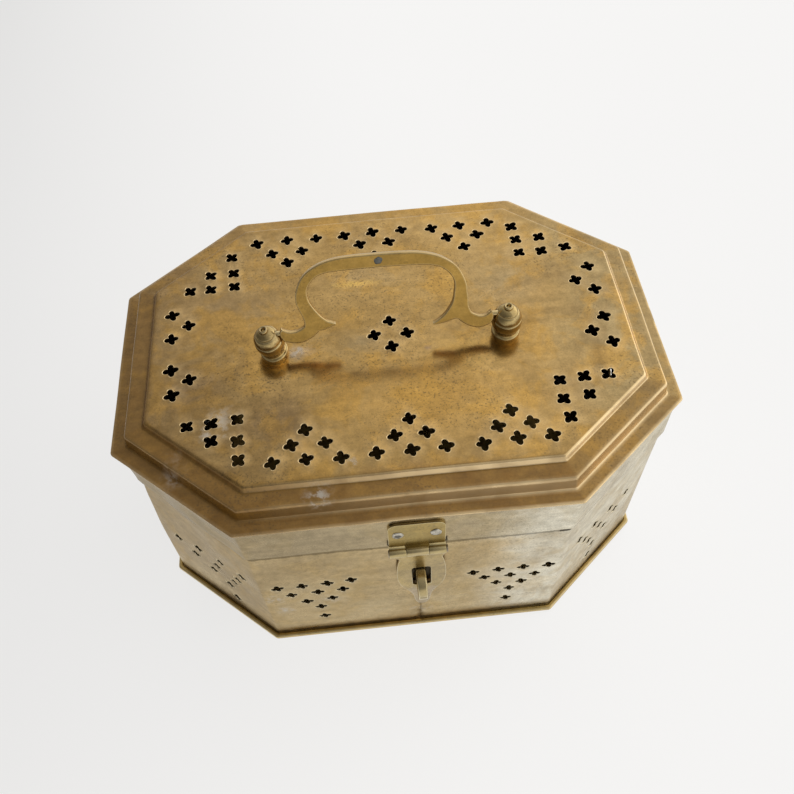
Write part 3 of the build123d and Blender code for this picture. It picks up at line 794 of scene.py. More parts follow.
# Near-black: painted shade of the box's interior, on the sheets' inner faces and cut edges.
inside_brass = aged_brass(
    "inside_brass", (0.08, 0.054, 0.025), (0.055, 0.037, 0.017), (0.028, 0.018, 0.008), (0.075, 0.048, 0.018),
    rough=(0.40, 0.55), dark_share=0.5, speck_share=0.3, worn_and_sheen=(0.12, 0.085, 0.04))
rivet_metal = dull_metal("rivet_metal", (0.72, 0.68, 0.58), (0.36, 0.33, 0.27), (0.22, 0.38))
solder_grey = dull_metal("solder_grey", (0.46, 0.45, 0.42), (0.25, 0.24, 0.22), (0.40, 0.62))
plug_metal = dull_metal("plug_metal", (0.26, 0.26, 0.24), (0.12, 0.12, 0.11), (0.40, 0.60))
pin_steel = dull_metal("pin_steel", (0.48, 0.42, 0.32), (0.25, 0.20, 0.14), (0.35, 0.55))


# ---------------------------------------------------------------- lid
def lid_profile():
    """Section of the lid's upper surface from its rim inward, as (offset from the wall, z)."""
    droop = 0.25
    corners = [
        (rim_overhang, rim_z - 0.8), (rim_overhang, rim_z - droop), (foot1, rim_z - 0.05),
        (crest1, ledge_z - 0.1), (foot2, ledge_z), (crest2, panel_z), (crest2 - 1.6, panel_z),
    ]
    return divided(rounded(corners, [0.4, 0.75, 0.85, 0.9, 1.3]), 0.9)


def lid_grime_and_shade(w, z, outward):
    """The rim and the ledge carry grime plus painted shade, the shade strongest at the front and left and
    least at the right; the panel near its edge gets a little painted shade at the front and left, and a
    painted shade line on the left.
    """
    # Painted shade by which way the outline faces: darkest at the front and left, least at the right, over a
    # floor of grime.
    side = min(1.0, max(0.15, 0.45 - 0.35 * outward.x - 0.55 * outward.y))
    if w > crest2 + 0.3 and z < panel_z - 0.1:
        return side
    # Painted shade on the panel near its edge at the front and left, and a painted shade line on the left
    # just inside the upper crest.
    near = max(0.0, 1 - (crest2 - w) / 9.0)
    band = max(0.0, 1 - (crest2 - w) / 1.2) * max(0.0, -outward.x)
    return max(0.9 * band, 0.45 * near * max(0.0, side - 0.4))


def build_lid():
    profile = lid_profile()
    points, wear_and_sheen, grime_and_shade = [], [], []
    for w, z in profile:
        for place, outward in ring(w):
            points.append((place.x, place.y, z))
            wear_and_sheen.append(lid_wear_and_sheen(w, z, place, outward))
            grime_and_shade.append(lid_grime_and_shade(w, z, outward))
    count = len(ring(0))
    faces = grid_faces(len(profile), count, True)
    boundary = [place for place, _ in ring(profile[-1].x)]
    sheet_points, sheet_faces, sheet_wear = pierced(
        boundary, [], lid_pattern(), 2.5, 1.35, 3.3, random.Random(11))
    start = len(points)
    points += [(u, v, panel_z - sink) for u, v, sink in sheet_points]
    wear_and_sheen += sheet_wear
    grime_and_shade += [0.0] * len(sheet_points)
    faces += [tuple(start + i for i in face) for face in sheet_faces]
    points = [waver(Vector(p)) for p in points]
    mesh = make_mesh("lid", points, faces, wear_and_sheen, 0.02, grime_and_shade)
    piece = add_piece("lid", mesh, "lid", [lid_brass, inside_brass], ["lid_top"], smooth=60)
    thicken(piece, sheet, 1)


def lid_wear_and_sheen(w, z, place, outward):
    """The rim's lip and the steps' crests are rubbed bright; the riser faces and the steps' feet get painted
    highlight where they face the front and the right, most toward the right of the front, and the same
    painted highlight brightens the lip and crests.
    """
    # Painted highlight that grows toward the right, where the room is bright, on faces that look to the front
    # and the right.
    lit_toward_right = min(1.0, max(0.0, (place.x + 55.0) / 80.0))
    facing = max(0.0, -outward.y) * lit_toward_right + 0.45 * max(0.0, outward.x)
    lip = max(0.0, 1 - hypot(w - rim_overhang, z - rim_z + 0.3) / 0.7)
    # The upper riser's face: painted highlight only.
    if ledge_z + 0.25 < z < panel_z - 0.05:
        return min(1.0, 1.15 * facing)
    crest = max(0.0, 1 - hypot(w - crest1, z - ledge_z + 0.1) / 0.8)
    foot = max(0.0, 1 - hypot(w - foot1, z - rim_z) / 0.8)
    # The lower riser's face: painted highlight. Lip, crest and foot: rubbing, brightened by the same painted
    # highlight.
    face = 0.55 * facing if foot1 > w > crest1 else 0.0
    lip_wear_and_sheen, crest_wear_and_sheen = lip * (0.35 + 0.65 * facing), crest * (0.15 + 0.85 * facing)
    return min(1.0, 1.5 * max(face, lip_wear_and_sheen, crest_wear_and_sheen, foot * facing))


# ---------------------------------------------------------------- skirt, wall and base
def ring_sweep(profile, closed, dents=True):
    """Surface swept round the octagon from (offset, z) points."""
    points = []
    for w, z in profile:
        for place, normal in ring(w):
            spot = Vector((place.x, place.y, z))
            if dents:
                spot = dented(spot, Vector((normal.x, normal.y, 0)))
            points.append(waver(spot))
    count = len(ring(0))
    faces = grid_faces(len(profile), count, True)
    if closed:
        last = (len(profile) - 1) * count
        faces += [(last + c, last + (c + 1) % count, (c + 1) % count, c) for c in range(count)]
    return points, faces


def build_skirt():
    inner = skirt_out - sheet
    half = sheet / 2
    edge = [(skirt_out - half + half * cos(a), skirt_bottom + half + half * sin(a))
            for a in [-pi * k / 8 for k in range(9)]]
    outside = divided([Vector((skirt_out, skirt_top)), Vector(edge[0])], 2.6)
    inside = divided([Vector(edge[-1]), Vector((inner, skirt_top))], 5.0)
    profile = outside + [Vector(p) for p in edge[1:-1]] + inside
    points, faces = ring_sweep(profile, True)
    mesh = make_mesh("lid_skirt", points, faces, merge=0.005)
    recalc(mesh)
    add_piece("skirt", mesh, "lid", [skirt_brass], ["lid_skirt"], smooth=50)


class Band:
    """The wall's outline as one strip, measured from the soldered joint at the front."""

    def __init__(self):
        self.spans = spans(0, bend_radius)
        self.lengths = []
        for start, end, centre, turn in self.spans:
            self.lengths.append(bend_radius * turn if centre else (end - start).length)
        self.total = sum(self.lengths)
        seam_span = 13
        self.start = sum(self.lengths[:seam_span]) + (seam_x - self.spans[seam_span][0].x)

    def at(self, s):
        s = (s + self.start) % self.total
        for span, length in zip(self.spans, self.lengths):
            if s <= length:
                return along_span(span, s / length)
            s -= length
        return along_span(self.spans[-1], 1.0)

    def bend_lines(self):
        """Positions along the strip of each fold, five to a fold."""
        marks, run = [], -self.start
        for i, length in enumerate(self.lengths):
            if i % 2 == 0:
                marks += [(run + length * k / 4) % self.total for k in range(5)]
            run += length
        return sorted(marks)

    def middle(self, side):
        """Position along the strip of the middle of a side, 0 to 7 from the right side."""
        i = side * 2 + 1
        return (sum(self.lengths[:i]) + self.lengths[i] / 2 - self.start) % self.total


# each wall's groups of crosses: (middle along the side, height of the top row, pitch, step down, turn)
WALL_GROUPS = {
    6: [(-34.5, 44.7, 8.8, 6.9, 2), (35.8, 40.9, 9.2, 6.2, 0)],
    5: [(-0.5, 40.8, 11.4, 7.2, 12)],
    7: [(0.0, 42.0, 9.4, 6.8, -4)],
    2: [(-35.3, 43.5, 9.1, 6.8, -2), (35.3, 42.8, 9.1, 6.8, 2)],
    0: [(0.0, 43.5, 9.1, 6.8, 1)], 1: [(0.0, 43.0, 9.3, 6.8, 3)],
    3: [(0.0, 43.8, 9.1, 6.6, -3)], 4: [(0.0, 43.2, 9.2, 6.8, -2)],
}


def wall_pattern(band):
    """Each group is a downward triangle of crosses with one more below it."""
    spots = []
    for side, groups in WALL_GROUPS.items():
        for centre, top, pitch, down, turn in groups:
            for x, step in triangle([4, 3, 2, 1, 1], pitch, [0, down, 2 * down, 3 * down, 4.4 * down]):
                tilt = radians(turn)
                along = centre + x * cos(tilt) + step * sin(tilt)
                rise = top + x * sin(tilt) - step * cos(tilt)
                spots.append((((band.middle(side) + along) % band.total, rise), CROSS_TURN * 0.5))
    return spots


def build_wall():
    band = Band()
    profile = divided(rounded(
        [(0, wall_bottom), (0, shoulder_z), (-neck_in, shoulder_z + neck_rise), (-neck_in, wall_top)],
        [1.0, 1.0], 3), 3.4)
    heights = [0.0]
    for a, b in zip(profile, profile[1:]):
        heights.append(heights[-1] + (b - a).length)

    def across(t):
        for k in range(len(profile) - 1):
            if t <= heights[k + 1] + 1e-6:
                return profile[k].lerp(profile[k + 1], (t - heights[k]) / (heights[k + 1] - heights[k]))
        return profile[-1]

    total, top = band.total, heights[-1]
    gap = 0.02
    columns = 168
    stations = [gap] + [total * k / columns for k in range(1, columns)] + [total - gap]
    marks = band.bend_lines()
    stations = [s for s in stations if all(abs(s - m) > 0.9 for m in marks)]
    bottom = [Vector((s, 0)) for s in sorted(stations + marks)]
    upper = [Vector((p.x, top)) for p in reversed(bottom)]
    side_up = [Vector((total - gap, t)) for t in heights[1:-1]]
    side_down = [Vector((gap, t)) for t in reversed(heights[1:-1])]
    boundary = bottom + side_up + upper + side_down
    lines = [[Vector((m, t)) for t in heights[1:-1]] for m in marks]
    holes = [((s, t - wall_bottom), turn) for (s, t), turn in wall_pattern(band)]
    flat, faces, wear_and_sheen = pierced(boundary, lines, holes, 2.2, 1.15, 3.4, random.Random(5))
    points = []
    for s, t, sink in flat:
        w, z = across(t)
        place, normal = band.at(s)
        outward = Vector((normal.x, normal.y, 0))
        spot = Vector((place.x, place.y, z)) + outward * (w - sink)
        points.append(waver(dented(spot, outward)))
    mesh = make_mesh("wall", points, faces, wear_and_sheen)
    face_out(mesh)
    piece = add_piece("wall", mesh, "box", [wall_brass, inside_brass], ["body_wall"], smooth=50)
    thicken(piece, sheet, 1)


def face_out(mesh):
    """Turns the whole mesh so that its faces look away from the middle of the box."""
    total = 0.0
    for polygon in mesh.polygons:
        total += polygon.normal.dot(Vector((polygon.center.x, polygon.center.y, 0)))
    if total < 0:
        mesh.flip_normals()


def build_base():
    top = corner("base_solder", 0).z
    round_edge = 0.7
    corners = [(-48.0, top), (0.3, top), (0.3, hem_height), (base_overhang, hem_height),
               (base_overhang, 0.0), (-48.0, 0.0)]
    path = rounded(corners, [0.15, 0.35, round_edge, round_edge], 5)
    profile = divided(path, 9.0)
    points, faces = ring_sweep(profile, False, dents=False)
    count = len(ring(0))
    faces.append(tuple(range(count)))
    last = (len(profile) - 1) * count
    faces.append(tuple(reversed(range(last, last + count))))
    wear_and_sheen = []
    for w, z in profile:
        wear_and_sheen += [max(0.0, 1 - hypot(w - base_overhang, z - hem_height) / 0.9)] * count
    mesh = make_mesh("base", points, faces, wear_and_sheen)
    recalc(mesh)
    add_piece("base", mesh, "box", [base_brass], ["base_plate"], smooth=45)


# ---------------------------------------------------------------- plates, rolled knuckles and lathe work
def inward(loop):
    """Direction into the plate at each point of a closed loop, longer at sharp corners."""
    moves = []
    for i, here in enumerate(loop):
        before, after = here - loop[i - 1], loop[(i + 1) % len(loop)] - here
        first = Vector((-before.y, before.x)).normalized()
        middle = (first + Vector((-after.y, after.x)).normalized()).normalized()
        moves.append(middle / max(0.5, middle.dot(first)))
    return moves


def room(loop, moves):
    """How far each point could move inward before it met the far side of the loop."""
    free = []
    count = len(loop)
    for i, (here, move) in enumerate(zip(loop, moves)):
        nearest = 100.0
        for j in range(count):
            if j == i or j == (i - 1) % count:
                continue
            start, edge = loop[j], loop[(j + 1) % count] - loop[j]
            cross = move.x * edge.y - move.y * edge.x
            if abs(cross) < 1e-9:
                continue
            gap = start - here
            distance = (gap.x * edge.y - gap.y * edge.x) / cross
            share = (gap.x * move.y - gap.y * move.x) / cross
            if 0 <= share <= 1 and distance > 1e-6:
                nearest = min(nearest, distance)
        free.append(nearest)
    return free


def cap_faces(points, rings):
    """Triangles filling a flat outline (the first ring) less its holes (the others)."""
    flat, edges, source = [], [], []
    for ids in rings:
        first, count = len(flat), len(ids)
        flat += [Vector(points[i][:2]) for i in ids]
        source += ids
        edges += [(first + i, first + (i + 1) % count) for i in range(count)]
    loops = [[Vector(points[i][:2]) for i in ids] for ids in rings]
    verts, _, tris, origin, _, _ = delaunay_2d_cdt(flat, edges, [], 0, 1e-7)
    own = [source[ids[0]] if ids else source[min(range(len(flat)), key=lambda k: (flat[k] - vert).length)]
           for vert, ids in zip(verts, origin)]
    faces = []
    for tri in tris:
        middle = sum((verts[i] for i in tri), Vector((0, 0))) / 3
        if in_loop(middle, loops[0]) and not any(in_loop(middle, loop) for loop in loops[1:]):
            corners = [own[i] for i in tri]
            if len(set(corners)) == 3:
                faces.append(tuple(corners))
    return faces


def flat_plate(loops, thickness, bevel, steps=2):
    """Points and faces of a plate cut to closed loops, with rounded edges, about z = 0. The first
    loop is the outside and runs counter-clockwise; the others are holes and run clockwise."""
    levels = [(1 - sin(pi / 2 * k / steps), thickness / 2 - bevel * (1 - cos(pi / 2 * k / steps)))
              for k in range(steps + 1)]
    levels = [(1.9, thickness / 2)] + levels
    levels += [(inset, -z) for inset, z in reversed(levels)]
    points, faces, tops, bottoms = [], [], [], []
    for loop in loops:
        loop = [Vector(p) for p in loop]
        moves = inward(loop)
        first, count = len(points), len(loop)
        reach = [min(bevel, 0.2 * gap) for gap in room(loop, moves)]
        for i, move in enumerate(moves):
            before, after = loop[i] - loop[i - 1], loop[(i + 1) % count] - loop[i]
            bend = atan2(before.x * after.y - before.y * after.x, before.dot(after))
            if move.length > 1.03:
                reach[i] = min(reach[i], 0.25 * min(before.length, after.length) / move.length)
            if bend > 0.02:
                reach[i] = min(reach[i], 0.22 * (before.length + after.length) / bend)
        for inset, z in levels:
            for here, move, far in zip(loop, moves, reach):
                spot = here + move * (far * inset)
                points.append((spot.x, spot.y, z))
        faces += grid_faces(len(levels), count, True, first)
        last = first + (len(levels) - 1) * count
        tops.append(list(range(first, first + count)))
        bottoms.append(list(range(last, last + count)))
    faces += cap_faces(points, tops) + cap_faces(points, bottoms)
    return points, faces


def clockwise(loop):
    """The loop as a hole's outline: turned round if it runs counter-clockwise."""
    area = sum(a[0] * b[1] - b[0] * a[1] for a, b in zip(loop, loop[1:] + loop[:1]))
    return list(reversed(loop)) if area > 0 else loop


def outside(loop):
    return list(reversed(clockwise(loop)))


def placed(plate, origin, x_dir, z_dir):
    """Plate points after standing the plate's plane in the frame."""
    x = Vector(x_dir).normalized()
    z = Vector(z_dir).normalized()
    turn = Matrix((x, z.cross(x), z)).transposed()
    points, faces = plate
    return [turn @ Vector(p) + Vector(origin) for p in points], faces


def lathe(profile, steps=64):
    """Turned solid about Z from (radius, height) points that start and end on the axis."""
    points, faces = [(0, 0, profile[0][1])], []
    middle = profile[1:-1]
    for radius, height in middle:
        points += [(radius * cos(2 * pi * k / steps), radius * sin(2 * pi * k / steps), height)
                   for k in range(steps)]
    points.append((0, 0, profile[-1][1]))
    faces = grid_faces(len(middle), steps, True, 1)
    end = len(points) - 1
    last = 1 + (len(middle) - 1) * steps
    faces += [(0, 1 + (k + 1) % steps, 1 + k) for k in range(steps)]
    faces += [(end, last + k, last + (k + 1) % steps) for k in range(steps)]
    return [Vector(p) for p in points], faces


def knuckle(x0, x1, toward_wall, plate_side, reach):
    """Eye rolled from the leaf over the front of the pin. toward_wall is +1 or -1 along Y from the
    barrel to the sheet, plate_side is +1 if the leaf goes up from the barrel and -1 if it goes down."""
    outer, inner = knuckle_radius, knuckle_radius - leaf
    outline = [(inner, reach), (0.9, 2.6), (0.75, 2.2), (0.45, 1.9)]
    outline += [(outer * cos(radians(a)), outer * sin(radians(a))) for a in range(80, 351, 10)]
    outline += [(inner * cos(radians(a)), inner * sin(radians(a))) for a in range(350, 49, -12)]
    outline += [(1.0, 1.0), (1.5, 1.3), (outer, 1.8), (outer, reach)]
    loop = outside([(y * toward_wall, z * plate_side) for y, z in outline])
    plate = flat_plate([loop], x1 - x0, 0.12)
    return placed(plate, ((x0 + x1) / 2, barrel_at(toward_wall), barrel_z), (0, 1, 0), (1, 0, 0))


def barrel_at(toward_wall):
    """Y of the barrel's axis: the hasp's at the front, the hinges' at the back."""
    return barrel_y if toward_wall > 0 else -barrel_y


def leaf_loop(x0, x1, z0, z1, radius, top):
    """Rectangle with its two outer corners rounded."""
    def arc(cx, cz, start):
        return [(cx + radius * cos(start + pi / 2 * k / 8), cz + radius * sin(start + pi / 2 * k / 8))
                for k in range(9)]
    if top:
        return [(x0, z0), (x1, z0)] + arc(x1 - radius, z1 - radius, 0) + arc(x0 + radius, z1 - radius, pi / 2)
    left, right = arc(x0 + radius, z0 + radius, pi), arc(x1 - radius, z0 + radius, 3 * pi / 2)
    return [(x1, z1), (x0, z1)] + left + right


def hardware_piece(name, parts, body, nodes, finish):
    points, faces = joined(parts)
    mesh = make_mesh(name, [waver(Vector(p)) for p in points], faces, merge=0.004)
    recalc(mesh)
    edge_wear(mesh)
    return add_piece(name, mesh, body, [finish], nodes, smooth=38)


# ---------------------------------------------------------------- hasp
hasp_low, hasp_high = corner("hasp_leaf", 0), corner("hasp_leaf", 1)
hasp_mid = 3.6
plate_low = corner("hasp_plate", 0).z
slot_half = Vector((3.25, 7.2))
hinge_rivet_up = 8.6
rivet_rows = {
    "hasp": corner("hasp_rivets", 0).z / 2 + corner("hasp_rivets", 1).z / 2,
    "lid": barrel_z + hinge_rivet_up, "wall": barrel_z - hinge_rivet_up}
hasp_rivet_x = 6.1


def build_hasp_leaf():
    """Fixed leaf with two rolled knuckles and a short hood bent over the plate's own knuckle."""
    base_z = barrel_z + 2.6
    loop = outside(leaf_loop(hasp_low.x, hasp_high.x, base_z, hasp_high.z, 3.0, True))
    plate = placed(flat_plate([loop], leaf, 0.14), (0, -skirt_face - leaf / 2, 0), (1, 0, 0), (0, -1, 0))
    parts = [plate]
    for x0, x1 in ((hasp_low.x, hasp_x - hasp_mid - 0.15), (hasp_x + hasp_mid + 0.15, hasp_high.x)):
        parts.append(knuckle(x0, x1, 1, 1, base_z - barrel_z + 0.4))
    near, far = knuckle_radius + 0.15, knuckle_radius + 0.8
    hood = [(0.9, 3.2)] + [(far * cos(radians(a)), far * sin(radians(a))) for a in range(70, 101, 6)]
    hood += [(near * cos(radians(a)), near * sin(radians(a))) for a in range(100, 51, -7)]
    hood += [(1.8, 1.9), (1.8, 3.2)]
    half = hasp_mid + 0.1
    bent = flat_plate([outside(hood)], 2 * half, 0.08)
    parts.append(placed(bent, (hasp_x, barrel_y, barrel_z), (0, 1, 0), (1, 0, 0)))
    hardware_piece("hasp_fixed_leaf", parts, "lid", ["hasp_leaf"], leaf_brass)


def smooth_path(points, steps=12):
    """Catmull-Rom curve through points."""
    pts = [Vector(p) for p in points]
    pts = [2 * pts[0] - pts[1]] + pts + [2 * pts[-1] - pts[-2]]
    out = []
    for i in range(1, len(pts) - 2):
        a, b, c, d = pts[i - 1], pts[i], pts[i + 1], pts[i + 2]
        for k in range(steps):
            t = k / steps
            out.append(0.5 * (2 * b + (c - a) * t + (2 * a - 5 * b + 4 * c - d) * t * t
                              + (3 * b - a - 3 * c + d) * t * t * t))
    out.append(pts[-2])
    return out


def mirrored(half):
    """Closed loop from its right half, whose first and last points are on the middle line."""
    right = [(p[0], p[1]) for p in half]
    return right + [(-x, y) for x, y in reversed(right[1:-1])]


def build_hasp_plate():
    """Swinging plate: ears under the barrel, a waist and a long narrowing tongue, with the slot. It
    hangs a little to the right of its knuckle."""
    drop = plate_low - barrel_z
    half = [(0, -1.2), (hasp_mid, -1.2), (hasp_mid, -3.2), (7.2, -3.2), (7.9, -3.5), (8.2, -4.2), (8.3, -6.4)]
    half += [(p.x, p.y) for p in smooth_path([(8.1, -7.0), (7.3, -8.5), (7.7, -10.4)], 5)]
    tongue = [(8.3, -14.0), (8.6, -20.0), (8.4, -25.0), (7.2, -30.0), (4.9, -34.5), (3.3, -38.8),
              (2.7, -43.5), (1.6, drop + 0.7), (0, drop)]
    half += [(p.x, p.y) for p in smooth_path(tongue, 6)]
    slot_c = slot_z - barrel_z
    slot_loop = leaf_round(slot_half.x, slot_half.y, 1.2, slot_c)
    points, faces = flat_plate([outside(mirrored(half)), clockwise(slot_loop)], leaf, 0.16)
    slid = []
    for x, z, depth in points:
        share = min(1.0, max(0.0, (-z - 2.0) / 6.0))
        slid.append((x + 1.1 * share, z, depth))
    plate = placed((slid, faces), (hasp_x, -skirt_face - leaf / 2, barrel_z), (1, 0, 0), (0, -1, 0))
    roll = knuckle(hasp_x - hasp_mid, hasp_x + hasp_mid, 1, -1, 3.0)
    hardware_piece("hasp_swinging_plate", [plate, roll], "hasp", ["hasp_plate"], plate_brass)


def leaf_round(half_x, half_y, radius, middle):
    """Rounded rectangle centred at (0, middle)."""
    loop = []
    for cx, cy, start in ((1, 1, 0), (-1, 1, pi / 2), (-1, -1, pi), (1, -1, 3 * pi / 2)):
        for k in range(7):
            angle = start + pi / 2 * k / 6
            loop.append((cx * (half_x - radius) + radius * cos(angle),
                         middle + cy * (half_y - radius) + radius * sin(angle)))
    return loop


def build_staple():
    """Bent bar with softened edges through the wall, its tails clenched inside."""
    low, high = corner("staple", 0), corner("staple", 1)
    width, bar = high.x - low.x, 2.2
    outer = 6.0
    bend = outer - bar / 2
    centre_y = low.y + outer
    inside = -(half_width - sheet) + 0.5
    path = [(inside, high.z - 0.4), (inside, slot_z + bend + 0.9), (inside - 0.5, slot_z + bend)]
    path += [(centre_y, slot_z + bend)]
    path += [(centre_y - bend * sin(pi * k / 20), slot_z + bend * cos(pi * k / 20)) for k in range(1, 20)]
    path += [(centre_y, slot_z - bend), (inside - 0.5, slot_z - bend)]
    path += [(inside, slot_z - bend - 0.9), (inside, low.z + 0.4)]
    path = [Vector(p) for p in path]
    section = leaf_round(width / 2, bar / 2, 0.55, 0)
    points, faces = [], []
    for i, spot in enumerate(path):
        ahead = path[min(i + 1, len(path) - 1)] - path[max(i - 1, 0)]
        side = Vector((ahead.y, -ahead.x)).normalized()
        flat = 0.45 if i in (0, len(path) - 1) else 1.0
        for a, b in section:
            p = spot + side * b * flat
            points.append(Vector((hasp_x + 0.8 + a, p.x, p.y)))
    count = len(section)
    faces = grid_faces(len(path), count, True)
    faces.append(tuple(range(count)))
    last = (len(path) - 1) * count
    faces.append(tuple(reversed(range(last, last + count))))
    mesh = make_mesh("staple", [waver(p) for p in points], faces, merge=0.001)
    recalc(mesh)
    edge_wear(mesh, 30)
    add_piece("staple_loop", mesh, "box", [staple_brass], ["staple"], smooth=40)


def rivet_points(x, y_outer, y_inner, z, hollow, rng):
    """Hammered rivet: an uneven domed or cupped head outside and a flat tail inside."""
    out = 1 if y_outer > y_inner else -1
    grip = abs(y_outer - y_inner)
    top = 0.22 if hollow else 0.6
    profile = [(0, top), (0.5, top), (0.9, top + 0.04), (1.25, 0.56 if hollow else 0.5), (1.55, 0.46),
               (1.8, 0.25), (1.9, 0.1), (1.9, 0.0), (1.1, 0.0), (1.1, -grip), (1.6, -grip),
               (1.6, -grip - 0.3), (1.3, -grip - 0.4), (0, -grip - 0.4)]
    points, faces = lathe(profile, 28)
    spin = rng.uniform(0, 6)
    moved = []
    for p in points:
        lump = 1 + 0.05 * sin(3 * atan2(p.y, p.x) + spin) + 0.03 * sin(5 * atan2(p.y, p.x) + spin * 2)
        moved.append(Vector((x + p.x * lump, y_outer + out * p.z, z + p.y * lump)))
    return moved, faces


def build_rivets():
    rng = random.Random(3)
    rows = {
        "hasp_rivets": ("lid", [(hasp_x + s * hasp_rivet_x, -skirt_face - leaf, -skirt_face + sheet,
                                 rivet_rows["hasp"], s < 0) for s in (-1, 1)]),
        "hinge_lid_rivets": ("lid", []),
        "hinge_body_rivets": ("box", []),
    }
    for side in (-1, 1):
        for dx in (-5.6, 5.6):
            x = side * hinge_x + dx
            rows["hinge_lid_rivets"][1].append(
                (x, skirt_face + leaf, skirt_face - sheet, rivet_rows["lid"], False))
            rows["hinge_body_rivets"][1].append(
                (x, half_width + leaf, half_width - sheet, rivet_rows["wall"], False))
    for node, (body, spots) in rows.items():
        points, faces = joined([rivet_points(*spot, rng) for spot in spots])
        grime_and_shade = []
        for x, _, _, z, hollow in spots:
            per = len(points) // len(spots)
            own = points[len(grime_and_shade):len(grime_and_shade) + per]
            grime_and_shade += [0.9 * hollow * (hypot(p.x - x, p.z - z) < 1.0) for p in own]
        mesh = make_mesh(node, [waver(p) for p in points], faces, grime_and_shade=grime_and_shade)
        recalc(mesh)
        add_piece(node + "_heads", mesh, body, [rivet_metal], [node], smooth=40)


# ---------------------------------------------------------------- hinges
hinge_x = (corner("hinge_right_lid_leaf", 0).x + corner("hinge_right_lid_leaf", 1).x) / 2
hinge_half = (corner("hinge_right_lid_leaf", 1).x - corner("hinge_right_lid_leaf", 0).x) / 2
hinge_knuckle = 6.0
hinge_leaf_height = 12.0


def build_hinges():
    for word, side in (("left", -1), ("right", 1)):
        x = side * hinge_x
        mid = hinge_half - hinge_knuckle
        rise = 2.6
        left, right = x - hinge_half, x + hinge_half
        loop = outside(leaf_loop(left, right, barrel_z + rise, barrel_z + hinge_leaf_height, 2.0, True))
        plate = flat_plate([loop], leaf, 0.14)
        lid_leaf = placed(plate, (0, skirt_face + leaf / 2, 0), (1, 0, 0), (0, -1, 0))
        parts = [lid_leaf, knuckle(x - mid, x + mid, -1, 1, rise + 0.4)]
        hardware_piece(f"hinge_{word}_upper", parts, "lid", [f"hinge_{word}_lid_leaf"], leaf_brass)
        loop = outside(leaf_loop(left, right, barrel_z - hinge_leaf_height, barrel_z - rise, 2.0, False))
        plate = flat_plate([loop], leaf, 0.14)
        wall_leaf = placed(plate, (0, half_width + leaf / 2, 0), (1, 0, 0), (0, -1, 0))
        parts = [wall_leaf]
        for x0, x1 in ((left, x - mid - 0.15), (x + mid + 0.15, right)):
            parts.append(knuckle(x0, x1, -1, -1, rise + 0.2))
            parts.append(joggle(x0, x1, rise))
        hardware_piece(f"hinge_{word}_lower", parts, "box", [f"hinge_{word}_body_leaf"], leaf_brass)


def joggle(x0, x1, rise):
    """Short bent web between a body knuckle and the leaf on the wall."""
    near, far = half_width, skirt_face
    loop = [(near, -rise - 0.8), (near + leaf, -rise - 0.8), (far + leaf, -rise + 0.2),
            (far + leaf, -rise + 0.9), (far, -rise + 0.9), (far, -rise + 0.3), (near, -rise - 0.3)]
    flat = flat_plate([outside(loop)], x1 - x0, 0.1)
    return placed(flat, ((x0 + x1) / 2, 0, barrel_z), (0, 1, 0), (1, 0, 0))


# ---------------------------------------------------------------- handle and posts
def handle_outline():
    """Right half of the bail from the top of the grip round to the underside of the grip,
    as (x, distance from its axis), before it leans."""
    outer = smooth_path([(0, 25.2), (7, 25.1), (13.8, 24.5), (19.6, 22.7), (24.4, 19.2), (27.1, 13.8),
                         (27.6, 9.2), (27.2, 5.2)], 7)
    valley = smooth_path([(27.2, 5.2), (27.5, 3.7), (28.3, 2.6), (30.4, 1.5)], 4)
    crest = smooth_path([(30.4, 1.5), (31.7, 1.35), (33.0, 1.75), (34.4, 2.9)], 4)
    foot = smooth_path([(34.4, 2.9), (35.1, 1.6), (35.0, 0.0), (34.0, -1.8)], 4)
    under = smooth_path([(34.0, -1.8), (30.7, -2.8), (27.6, -2.2), (25.0, -0.7), (22.9, 1.2)], 5)
    spur = smooth_path([(22.9, 1.2), (19.6, 0.9), (16.2, 1.2)], 5)
    inner = smooth_path([(16.15, 1.7), (19.4, 3.7), (22.0, 6.8), (23.3, 10.4), (23.4, 14.2), (21.6, 17.4),
                         (18.4, 19.6), (12.6, 20.4), (0, 20.7)], 7)
    half = []
    for run in (outer, valley, crest, foot, under, spur):
        half += run[:-1]
    return half + [spur[-1]] + inner


def leaned(point):
    """A point of the upright bail, (x, depth, distance from its axis), in its leaning place."""
    turn = Matrix.Rotation(-handle_lean, 3, "X")
    return turn @ Vector(point) + Vector((0, post_y, pivot_z))


def build_handle():
    points, faces = flat_plate([outside(mirrored(handle_outline()))], handle_thick, 0.3, 3)
    upright = []
    for x, r, depth in points:
        r -= (1.15 + 0.008 * x) * min(1.0, max(0.0, (10.0 - r) / 7.0))
        if x < -30.0:
            x -= 1.1 * min(1.0, (-30.0 - x) / 4.0)
        tip = min(1.0, max(0.0, (22.0 - abs(x)) / 5.0)) * min(1.0, max(0.0, (14.0 - r) / 7.0))
        x -= 1.3 * tip
        r += (1.4 if x < 0 else -1.5) * tip
        wander = noise.noise_vector(Vector((x, depth, r)) * 0.05 + Vector((1.7, 4.4, 9.1)))
        hold = min(1.0, max(0.0, r - 2.0) / 8.0)
        bend = Vector((wander.x * 0.5 - 1.5 + x * 0.015, wander.y * 0.35, wander.z * 0.25 - 0.3 - x * 0.022))
        upright.append(Vector((x, -depth, r)) + bend * hold)
    parts = [([leaned(p) for p in upright], faces)]
    for side in (-1, 1):
        start, end = handle_high.x - 4.6, handle_high.x
        pin, faces = lathe([(0, start), (1.0, start), (1.0, end - 0.2), (0.8, end), (0, end)], 24)
        parts.append(([leaned((side * p.z, p.x, p.y)) for p in pin], faces))
    points, faces = joined(parts)
    mesh = make_mesh("handle", points, faces, merge=0.003)
    recalc(mesh)
    edge_wear(mesh, 45)
    add_piece("bail_handle", mesh, "handle", [handle_brass], ["handle"], smooth=32)


